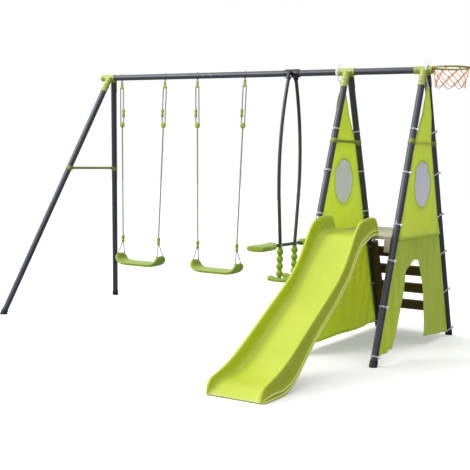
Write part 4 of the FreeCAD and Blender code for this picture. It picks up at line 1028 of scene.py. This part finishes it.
bearers_low, bearers_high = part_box("deck_bearers")
bearer_size = (PLANK, bearers_high.y - bearers_low.y, bearers_high.z - bearers_low.z)
bearer_y, bearer_z = (bearers_low.y + bearers_high.y) / 2, (bearers_low.z + bearers_high.z) / 2
bearer_spots = [((x, bearer_y, bearer_z), (0, 0, 1), (1, 0, 0))
                for x in (bearers_low.x + PLANK / 2, bearers_high.x - PLANK / 2)]
settle(spread("tower_bearers", timber_box(bearer_size, 0.004), bearer_spots, PALE_BEARER),
       "frame", "pale_wood",
       "deck_bearers")

rear_up = leg_up(1)
rear_out = Vector((0, rear_up.z, -rear_up.y))
rail_low_point = Vector((0, leg_y(0.142, 1), 0.142))
rail_high_point = Vector((0, leg_y(0.676, 1), 0.676))
rails_low, rails_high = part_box("ladder_rails")
rail_middle = (rail_low_point + rail_high_point) / 2
rail_xs = (rails_low.x + PLANK / 2, rails_high.x - PLANK / 2)
rail_spots = [((x, rail_middle.y, rail_middle.z), rear_up, (1, 0, 0)) for x in rail_xs]
rail_item = timber_box((PLANK, 0.056, (rail_high_point - rail_low_point).length), 0.004)
settle(spread("ladder_side_rails", rail_item, rail_spots, BROWN_RAIL),
       "frame", "brown_wood", "ladder_rails")

slats_low, slats_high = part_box("ladder_slats")
slat_spots = []
for height in SLAT_HEIGHTS:
    place = Vector(((slats_low.x + slats_high.x) / 2, leg_y(height, 1), height)) + rear_out * 0.038
    slat_spots.append((place, rear_up, (1, 0, 0)))
slat_item = timber_box((slats_high.x - slats_low.x, 0.020, 0.076))
settle(spread("ladder_steps", slat_item, slat_spots, BROWN), "frame", "brown_wood", "ladder_slats")


def screw_item():
    """Raised screw head with a cross recess."""
    head = turned("screw_item", ((-0.0004, 0.0050), (0.0006, 0.0051), (0.0014, 0.0045), (0.0020, 0.0030),
                                 (0.0021, 0.0028)), 16)
    slots = []
    for turn in (0, math.pi / 2):
        piece = bar_item(0.0052, 0.0006, 6)
        piece.matrix_world = Matrix.Translation((0, 0, 0.0019)) @ Matrix.Rotation(turn, 4, "Z")
        slots.append(flatten(piece))
    return joined("screw_item", [head] + slots)


screw_spots = []
for height in SLAT_HEIGHTS:
    for x in rail_xs:
        for t in (-0.020, 0.020):
            place = Vector((x, leg_y(height, 1), height)) + rear_up * t + rear_out * 0.0483
            screw_spots.append((place, rear_out, (1, 0.2 * t, 0)))
for i in range(1, 8):
    for x in (MID_X + 0.044, RIGHT_X - 0.044):
        for t in (-0.024, 0.024):
            y = boards_low.y + board_pitch * (i + 0.5) - 0.003 + t
            screw_spots.append(((x, y, boards_high.z + 0.0004), (0, 0, 1), (1, 9 * t, 0)))
for x, s in ((bearers_low.x + PLANK, 1), (bearers_high.x - PLANK, -1)):
    for _, side in SIDES:
        screw_spots.append(((x + s * 0.0004, leg_y(0.730, side), 0.730), (s, 0, 0), (0, 1, 0.2)))
settle(spread("timber_screws", screw_item(), screw_spots, ZINC), "frame", "zinc_steel", "wood_screws")


# ---- cloth panels: cut flat, tied along the legs, settled by a short cloth run ----------------
CUT_STEP = 0.0125
CLOTH_FRAMES = 26
WINDOW_Z = 1.124


def inside(y, z, ring):
    hit = False
    for (y0, z0), (y1, z1) in zip(ring, ring[1:] + ring[:1]):
        if (z0 > z) != (z1 > z) and y < (y1 - y0) * (z - z0) / (z1 - z0) + y0:
            hit = not hit
    return hit


def to_edge(points, ring):
    """Distance of every point from a closed outline."""
    best = np.full(len(points), 9.0)
    for a, b in zip(ring, ring[1:] + ring[:1]):
        a, b = np.array(a), np.array(b)
        run = b - a
        t = np.clip(((points - a) @ run) / max(run @ run, 1e-12), 0, 1)
        best = np.minimum(best, np.linalg.norm(points - (a + t[:, None] * run), axis=1))
    return best


def divided(ring, step):
    out = []
    for (y0, z0), (y1, z1) in zip(ring, ring[1:] + ring[:1]):
        parts = max(1, round(math.hypot(y1 - y0, z1 - z0) / step))
        out += [(y0 + (y1 - y0) * k / parts, z0 + (z1 - z0) * k / parts) for k in range(parts)]
    return out


def oval_ring(half_y, half_z, count=64):
    turns = [2 * math.pi * i / count for i in range(count)]
    return [(BEAM_Y + half_y * math.cos(t), WINDOW_Z + half_z * math.sin(t)) for t in turns]


def flat_cut(ring, window):
    """Triangles of a flat cut in Y and Z; the window's outline runs along edges."""
    step = CUT_STEP
    rim = divided(ring, step)
    points = [Vector(p) for p in rim]
    edges = [(i, (i + 1) % len(rim)) for i in range(len(rim))]
    if window:
        start = len(points)
        points += [Vector(p) for p in window]
        edges += [(start + i, start + (i + 1) % len(window)) for i in range(len(window))]
    fixed = np.array([tuple(p) for p in points])
    low, high = fixed.min(0), fixed.max(0)
    row = 0
    z = low[1] + step
    while z < high[1]:
        y = low[0] + (step / 2 if row % 2 else 0)
        while y < high[0]:
            if inside(y, z, ring) and np.linalg.norm(fixed - (y, z), axis=1).min() > 0.55 * step:
                points.append(Vector((y, z)))
            y += step
        z += step * 0.866
        row += 1
    made = delaunay_2d_cdt(points, edges, [], 0, 1e-6)
    spots = np.array([tuple(p) for p in made[0]])
    faces = [tuple(f) for f in made[2] if inside(*spots[list(f)].mean(0), ring)]
    return spots, faces


def cloth_run(thing, held, slack, stiffness):
    """Short cloth run with the held points fixed; the result becomes the mesh."""
    group = thing.vertex_groups.new(name="held")
    group.add([int(i) for i in held], 1.0, "REPLACE")
    mod = thing.modifiers.new("cloth", "CLOTH")
    settings = mod.settings
    settings.vertex_group_mass = "held"
    settings.quality = 6
    settings.mass = 0.12
    settings.tension_stiffness = settings.compression_stiffness = 25
    settings.shear_stiffness = 12
    settings.bending_stiffness = stiffness
    settings.air_damping = 3
    settings.shrink_min = -slack
    mod.collision_settings.use_collision = False
    mod.collision_settings.use_self_collision = False
    mod.point_cache.frame_start = 1
    mod.point_cache.frame_end = CLOTH_FRAMES
    for step in range(1, CLOTH_FRAMES + 1):
        scene.frame_set(step)
    graph = bpy.context.evaluated_depsgraph_get()
    settled = np.zeros(len(thing.data.vertices) * 3)
    thing.evaluated_get(graph).data.vertices.foreach_get("co", settled)
    thing.modifiers.clear()
    thing.vertex_groups.clear()
    thing.data.vertices.foreach_set("co", settled)
    thing.data.update()
    scene.frame_set(1)


def cloth_sheet(name, x, ring, held_rule, slack, stiffness, reach, ripple, window=None, drift=0.02):
    """Cut, ripple and settle one panel; reach and drift are how far it may leave its plane and its cut."""
    spots, faces = flat_cut(ring, window)
    edge = to_edge(spots, ring)
    held = [i for i, (y, z) in enumerate(spots) if held_rule(y, z, edge[i])]
    calm = np.clip(edge / 0.06, 0, 1)
    wave = ripple(spots[:, 0], spots[:, 1])
    out = math.copysign(1, x - 1.1)
    # the tops lie on the outside of the legs; an upper panel's foot lies outside of the lower panel
    base = x + out * (0.018 * np.clip((spots[:, 1] - 1.40) / 0.18, 0, 1)
                      + (0.0055 * np.clip((0.90 - spots[:, 1]) / 0.1, 0, 1) if window else 0))
    points = np.column_stack((base + wave * calm, spots))
    panel = mesh_object(name, points, faces)
    cloth_run(panel, held, slack, stiffness)
    moved = np.zeros(len(spots) * 3)
    panel.data.vertices.foreach_get("co", moved)
    moved = moved.reshape(-1, 3)
    low, high = reach
    shift = moved[:, 0] - base
    moved[:, 0] = base + np.where(shift > 0, high * np.tanh(shift / high), -low * np.tanh(-shift / low))
    moved[:, 1:] = spots + drift * np.tanh((moved[:, 1:] - spots) / drift)
    panel.data.vertices.foreach_set("co", moved.ravel())
    point_values(panel, "edge", np.minimum(edge, to_edge(spots, window)) if window else edge)
    panel.data.update()
    return panel, spots, moved


def window_off(panel, spots, window, label):
    """Split the window's faces from a panel's."""
    apart = panel.copy()
    apart.data = panel.data.copy()
    apart.name = label
    scene.collection.objects.link(apart)
    for thing, keep in ((panel, False), (apart, True)):
        work = bmesh.new()
        work.from_mesh(thing.data)
        wrong = [f for f in work.faces
                 if inside(*np.mean([spots[v.index] for v in f.verts], axis=0), window) != keep]
        bmesh.ops.delete(work, geom=wrong, context="FACES")
        work.to_mesh(thing.data)
        work.free()
    return apart


def thickened(thing, thickness, hem=HEM):
    """Cloth thickness, doubled over the hem."""
    edge = np.zeros(len(thing.data.vertices))
    thing.data.attributes["edge"].data.foreach_get("value", edge)
    group = thing.vertex_groups.new(name="hem")
    for i, at in enumerate(edge):
        group.add([i], 1.0 if at < hem else 0.55, "REPLACE")
    sub = thing.modifiers.new("smooth", "SUBSURF")
    sub.levels = sub.render_levels = 1
    sub.boundary_smooth = "PRESERVE_CORNERS"
    mod = thing.modifiers.new("thickness", "SOLIDIFY")
    mod.thickness = thickness
    mod.offset = 0
    mod.vertex_group = "hem"
    return flatten(thing)


def panel_side(height, side, inset=0.027):
    return leg_y(height, side) - side * inset


def ripples(parts):
    """Sum of slanted waves: each is a height, a wave length and its slope."""
    def field(y, z):
        total = np.zeros(len(y))
        for tall, long, slope, phase in parts:
            total += tall * np.sin((y - BEAM_Y + slope * (z - 0.8)) * 2 * math.pi / long + phase)
        return total
    return field


TIE_HEIGHTS = (1.480, 1.199, 0.910, 0.641, 0.359, 0.060)
RIGHT_REAR = 0.060  # the rear edges on the right are laced further from their leg
UPPER_CUT = [
    (panel_side(1.560, -1), 1.560), (leg_y(1.640, -1) - 0.006, 1.640), (leg_y(1.705, -1) - 0.010, 1.705),
    (BEAM_Y - 0.044, 1.775), (BEAM_Y + 0.014, 1.775),
    (panel_side(1.480, 1), 1.480), (panel_side(0.766, 1), 0.766), (panel_side(0.766, -1), 0.766),
]
RIGHT_UPPER_CUT = [
    (panel_side(1.620, -1), 1.620), (BEAM_Y - 0.030, 1.775), (BEAM_Y + 0.010, 1.775),
    (panel_side(1.480, 1, RIGHT_REAR), 1.480), (panel_side(0.766, 1, RIGHT_REAR), 0.766),
    (panel_side(0.766, -1), 0.766),
]
LOWER_CUT = [
    (panel_side(0.786, 1), 0.786), (panel_side(0.040, 1), 0.040),
    (BEAM_Y + 0.30, 0.036), (BEAM_Y, 0.044), (BEAM_Y - 0.32, 0.036),
    (panel_side(0.040, -1), 0.040), (panel_side(0.786, -1), 0.786),
]
DOOR_CUT = [(BEAM_Y + y / 1000, z / 1000) for y, z in (
    (128, 80), (138, 104), (136, 140), (130, 184), (122, 237), (114, 300), (102, 365), (78, 440),
    (42, 513), (12, 566), (-14, 600), (-40, 616), (-73, 622), (-118, 612), (-172, 592), (-214, 574),
    (-240, 552), (-246, 500), (-256, 440), (-280, 375), (-313, 310), (-343, 236), (-380, 155),
    (-400, 108), (-409, 76),
)]
RIGHT_EDGE = [(panel_side(0.786, 1, RIGHT_REAR), 0.786), (panel_side(0.034, 1, RIGHT_REAR), 0.034)]
RIGHT_CUT = (RIGHT_EDGE + DOOR_CUT
             + [(panel_side(0.056, -1), 0.056), (panel_side(0.786, -1), 0.786)])


def beside_leg(y, z):
    return min(y - panel_side(z, -1), panel_side(z, 1) - y) < 0.040


def hold_upper(y, z, edge):
    return edge < 0.003 and (beside_leg(y, z) or z > 1.74 or z < 0.775)


def hold_lower(y, z, edge):
    return edge < 0.003 and (beside_leg(y, z) or z > 0.77)


WINDOW = oval_ring(0.144, 0.155)
MID_CLOTH, RIGHT_CLOTH = MID_X - 0.009, RIGHT_X + 0.009  # laced towards the outside of the tower
for frame_word, x, ring, area in (
    ("mid", MID_CLOTH, UPPER_CUT, 0.478), ("right", RIGHT_CLOTH, RIGHT_UPPER_CUT, 0.450),
):
    sign = -1 if frame_word == "mid" else 1
    field = ripples(((0.0016, 0.34, 0.3 * sign, 0.4), (0.0011, 0.19, -0.5, 1.7), (0.0007, 0.11, 0.2, 0.3)))
    cloth, spots, moved = cloth_sheet(f"cloth_{frame_word}_upper", x, ring, hold_upper, 0.006, 4.0,
                                      (0.0035, 0.0035), field, WINDOW, 0.004)
    pane = window_off(cloth, spots, WINDOW, f"window_net_{frame_word}")
    rim_ids = [int(np.argmin(np.linalg.norm(spots - p, axis=1))) for p in WINDOW]
    binding = curves("binding", [[tuple(moved[i]) for i in rim_ids]], closed=True, radius=0.0026)
    pieces = [thickened(cloth, 0.0022), flatten(binding)]
    if frame_word == "right":
        rows = []
        front, rear = panel_side(0.766, -1), panel_side(0.766, 1, RIGHT_REAR)
        for k in range(29):
            t = k / 28
            y = front + 0.003 + t * (rear - front - 0.006)
            sag = 0.0012 * math.sin(19 * t)
            centre = Vector((x + 0.0068, y, 0.773 - sag))
            rows.append([centre + Vector((b, 0, a)) for a, b in superellipse(0.0095, 0.0042, 2.2, 20)])
        pieces.append(loft("valance", rows))
    for piece in pieces:
        if "edge" not in piece.data.attributes:
            point_values(piece, "edge", np.full(len(piece.data.vertices), 0.012))
        painted(piece, CLOTH)
    cloth = settle(joined(f"cloth_{frame_word}_upper", pieces), "frame", "lime_fabric",
                   f"panel_{frame_word}_upper")
    pane = settle(painted(thickened(pane, 0.0010, 0.0), NET_CLOTH), "frame", "mesh_fabric",
                  f"window_{frame_word}")

for frame_word, x, ring, room, area in (
    ("mid", MID_CLOTH, LOWER_CUT, (0.015, 0.012), 0.80),
    ("right", RIGHT_CLOTH, RIGHT_CUT, (0.012, 0.020), 0.553),
):
    sign = -1 if frame_word == "mid" else 1
    field = ripples(((0.0036, 0.58, 0.55 * sign, 0.2), (0.0020, 0.31, -0.40, 1.1),
                     (0.0009, 0.17, 0.25, 2.0)))
    cloth = cloth_sheet(f"cloth_{frame_word}_lower", x, ring, hold_lower, 0.008, 2.6, room, field)[0]
    cloth = painted(thickened(cloth, 0.0022), CLOTH)
    settle(cloth, "frame", "lime_fabric", f"panel_{frame_word}_lower")


# ---- elastic ties and their eyelets -----------------------------------------------------------
def tie_loop(centre, up, panel_way, offset):
    """Loop round a leg and through the eyelet on its panel side."""
    middle = centre + up * offset
    across = up.cross(panel_way).normalized()
    way = across.cross(up).normalized()
    reach = TUBE_R + 0.0021
    far = panel_way.length
    lean = math.acos(reach / far)
    points = []
    for k in range(27):
        t = lean + (2 * math.pi - 2 * lean) * k / 26
        points.append(middle + way * (reach * math.cos(t)) + across * (reach * math.sin(t)))
    tip = centre + way * far + up * (offset * 0.3)
    points += [tip - across * 0.0022 - way * 0.001, tip + way * 0.0016, tip + across * 0.0022 - way * 0.001]
    return points


tie_routes, toggle_spots, eyelet_spots, tail_routes = [], [], [], []
for frame_word, x, out in (("mid", MID_X, -1), ("right", RIGHT_X, 1)):
    for word, side in SIDES:
        up = leg_up(side)
        for i, height in enumerate(TIE_HEIGHTS):
            if (frame_word, word, i) == ("right", "front", 2):
                height -= 0.044
            centre = Vector((x, leg_y(height, side), height))
            loose = 0.033 * (frame_word == "right" and side > 0)
            panel_way = Vector((out * 0.0115, -side * (0.0400 + loose), 0))
            for offset in (-0.0028, 0.0026):
                tie_routes.append(tie_loop(centre, up, panel_way, offset))
            if side > 0:
                outward = Vector((out, 0.35, 0))
            else:
                outward = Vector((out, -0.10, 0) if out > 0 or i % 2 else (-0.5, -1, 0))
            outward.normalize()
            sideways = outward.cross(up).normalized()
            spot = centre + outward * (TUBE_R + 0.0062)
            toggle_spots.append((spot, outward, up))
            for way in (-1, 1):
                tilt = 0.35 * way + 0.25 * math.sin(3.1 * i + side)
                start = spot + outward * 0.004
                bend = start + outward * 0.005 + sideways * (0.004 * way) + up * 0.003
                end = bend + outward * 0.003 + sideways * (0.007 * way) - up * (0.005 + 0.004 * tilt)
                tail_routes.append([start, bend, end])
            eyelet = Vector((x + out * 0.0104, panel_side(height, side, 0.0385 + loose), height))
            eyelet_spots.append((eyelet, (1, 0, 0), (0, 1, 0)))
            eyelet_spots.append((eyelet - Vector((out * 0.0026, 0, 0)), (1, 0, 0), (0, 1, 0)))
toggle = turned("toggle", ((-0.0064, 0.0022), (-0.0058, 0.0042), (-0.0036, 0.0062), (0.0, 0.0070),
                           (0.0026, 0.0064), (0.0050, 0.0044), (0.0060, 0.0026)), 18)
tie_pieces = [
    painted(flatten(curves("loops", tie_routes, True, "POLY", 0.0017, 3)), WHITE_CORD),
    painted(flatten(curves("tails", tail_routes, False, "NURBS", 0.0014, 3)), WHITE_CORD),
    spread("toggles", toggle, toggle_spots, WHITE_CORD, 1.5),
]
settle(joined("panel_ties", tie_pieces), "frame", "white_cord", "leg_ties")
eyelets = spread("panel_eyelets", torus_item(0.0056, 0.0016, 22, 8), eyelet_spots, ZINC)
settle(eyelets, "frame", "zinc_steel")


# ---- cords that hang the upper panels from the beam -------------------------------------------
coil_routes, fray_routes, drop_routes = [], [], []
for cloth_x, bracket, around in ((MID_CLOTH, 0.787, 0.0256), (RIGHT_CLOTH, 1.440, 0.0312)):
    for offset in (-0.0052, 0.0, 0.0052):
        coil_routes.append([
            Vector((bracket + offset, BEAM_Y + around * math.cos(2 * math.pi * k / 36),
                    BEAM_Z + around * math.sin(2 * math.pi * k / 36))) for k in range(36)
        ])
    knot = Vector((bracket, BEAM_Y - 0.004, BEAM_Z + around + 0.0045))
    for turn in range(3):
        tilt = 0.7 * turn
        coil_routes.append([
            knot + Vector((0.0052 * math.cos(t) * math.cos(tilt), 0.0056 * math.sin(t),
                           0.0042 * math.cos(t) * math.sin(tilt) + 0.0036 * math.sin(t)))
            for t in (2 * math.pi * k / 20 for k in range(20))
        ])
    for lean in (-1, 1):
        base = knot + Vector((0.003 * lean, 0, 0.003))
        for k in range(5):
            spread_by = 0.0022 * (k - 2)
            fray_routes.append([
                base, base + Vector((0.007 * lean, 0.0, 0.007)),
                base + Vector((0.014 * lean + spread_by, spread_by, 0.015 + 0.0012 * k)),
            ])
    for lean in (-0.0036, 0.0036):
        start = Vector((bracket, BEAM_Y - around + 0.0010, BEAM_Z + lean))
        end = Vector((cloth_x + math.copysign(0.020, cloth_x - 1.1), BEAM_Y - 0.010 + 2.0 * lean, 1.760))
        middle = start.lerp(end, 0.5) + Vector((0.5 * lean, -0.012, 0))
        drop_routes.append([start, start.lerp(middle, 0.5), middle, middle.lerp(end, 0.6), end])
cord_pieces = [
    painted(flatten(curves("coils", coil_routes, True, "POLY", 0.0025, 3)), WHITE_CORD),
    painted(flatten(curves("frays", fray_routes, False, "NURBS", 0.0009, 2)), WHITE_CORD),
    painted(flatten(curves("drops", drop_routes, False, "NURBS", 0.0024, 3)), WHITE_CORD),
]
settle(joined("panel_hang_cords", cord_pieces), "frame", "white_cord", "top_cords")


# ---- ball hoop and net ------------------------------------------------------------------------
HOOP = Vector((1.602, BEAM_Y, 1.890))
painted(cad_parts["hoop"], BAR_GREEN)
NET_ROWS = ((1.8835, 0.1185), (1.862, 0.1120), (1.842, 0.1085), (1.820, 0.1050), (1.799, 0.1010),
            (1.776, 0.0985), (1.7600, 0.0965))
net_routes, knot_spots, clip_spots = [], [], []


def on_hoop(turn, radius, z):
    return Vector((HOOP.x + radius * math.cos(turn), HOOP.y + radius * math.sin(turn), z))


for i in range(8):
    start = 2 * math.pi * i / 8
    route = []
    for k, (z, radius) in enumerate(NET_ROWS):
        route.append(on_hoop(start + k * math.pi / 16, radius + 0.0016 * math.sin(2.3 * i + k), z))
    count = len(NET_ROWS)
    for k, (z, radius) in enumerate(NET_ROWS[::-1]):
        route.append(on_hoop(start + (count - 1 + k + 0.6) * math.pi / 16, radius - 0.0022, z))
    net_routes.append(route)
    for level, z, radius in ((1, 1.842, 0.1075), (2, 1.799, 0.1000)):
        knot_spots.append((on_hoop(start + level * math.pi / 8 + 0.06, radius, z), (0, 0, 1), (1, 0, 0)))
    along_hoop = (-math.sin(start), math.cos(start), 0)
    clip_spots.append((on_hoop(start + 0.03, 0.1180, 1.8886), along_hoop, (0, 0, 1)))
net_line = flatten(curves("net_line", net_routes, False, "NURBS", 0.0023, 3))
painted(net_line, ORANGE)
knot_item = turned("knot", mirrored(((-0.0040, 0.0020), (-0.0028, 0.0034), (0.0, 0.0040))), 12)
net_pieces = [
    net_line, spread("knots", knot_item, knot_spots, ORANGE),
    spread("clips", torus_item(0.0082, 0.0014, 18, 6), clip_spots, ORANGE),
]
settle(joined("hoop_net", net_pieces), "frame", "orange_cord", "net")


# ---- floor, light and camera ------------------------------------------------------------------
floor_corners = [(-30, -30, 0), (30, -30, 0), (30, 30, 0), (-30, 30, 0)]
floor = mesh_object("floor", floor_corners, [(0, 1, 2, 3)], False)
ground = Finish("pale floor", 0.9, Specular_IOR_Level=0.1)
seen = ground.add("ShaderNodeLightPath").outputs["Is Camera Ray"]
ground.colour(ground.mix(seen, (0.30, 0.30, 0.30), (0.88, 0.88, 0.88)))
ground.shader.inputs["Emission Color"].default_value = (1.0, 1.0, 1.0, 1)
ground.tree.links.new(ground.math("MULTIPLY", seen, 0.22), ground.shader.inputs["Emission Strength"])
painted(floor, ground.material)

world = bpy.data.worlds.new("soft studio")
scene.world = world
world.use_nodes = True
sky = world.node_tree
way_out = sky.nodes.new("ShaderNodeTexCoord").outputs["Generated"]
toward = sky.nodes.new("ShaderNodeVectorMath")
toward.operation = "DOT_PRODUCT"
sky.links.new(way_out, toward.inputs[0])
toward.inputs[1].default_value = (-0.58, -0.36, 0.73)
level_of = sky.nodes.new("ShaderNodeMapRange")
for label, value in (("From Min", -0.60), ("From Max", 0.95), ("To Min", 0.15), ("To Max", 1.55)):
    level_of.inputs[label].default_value = value
sky.links.new(toward.outputs["Value"], level_of.inputs["Value"])
straight = sky.nodes.new("ShaderNodeLightPath").outputs["Is Camera Ray"]
choose = sky.nodes.new("ShaderNodeMix")
choose.inputs["B"].default_value = 1.0
sky.links.new(straight, choose.inputs["Factor"])
sky.links.new(level_of.outputs["Result"], choose.inputs["A"])
sky.links.new(choose.outputs["Result"], sky.nodes["Background"].inputs["Strength"])
sky.nodes["Background"].inputs["Color"].default_value = (1.0, 1.0, 1.0, 1)


def area_light(name, place, target, size, power):
    data = bpy.data.lights.new(name, "AREA")
    data.shape = "SQUARE"
    data.size = size
    data.energy = power
    lamp = bpy.data.objects.new(name, data)
    scene.collection.objects.link(lamp)
    lamp.location = place
    way = Vector(target) - Vector(place)
    lamp.rotation_euler = way.to_track_quat("-Z", "Y").to_euler()
    return lamp


area_light("key", (-3.7, -4.3, 5.0), (0.3, 0.3, 0.8), 2.8, 265)

camera_data = bpy.data.cameras.new("camera")
camera_data.lens = 74.66
camera_data.sensor_width = 36.0
camera_data.clip_end = 200.0
camera = bpy.data.objects.new("camera", camera_data)
scene.collection.objects.link(camera)
yaw, pitch, roll = -0.5446, 0.0811, 0.0246
forward = Vector((math.sin(yaw) * math.cos(pitch), math.cos(yaw) * math.cos(pitch), -math.sin(pitch)))
level = Vector((math.cos(yaw), -math.sin(yaw), 0))
upright = level.cross(forward)
right = level * math.cos(roll) + upright * math.sin(roll)
above = upright * math.cos(roll) - level * math.sin(roll)
turn = Matrix((right, above, -forward)).transposed().to_4x4()
camera.matrix_world = Matrix.Translation((3.7597, -5.6448, 1.2814)) @ turn
scene.camera = camera
scene.view_settings.view_transform = "Standard"
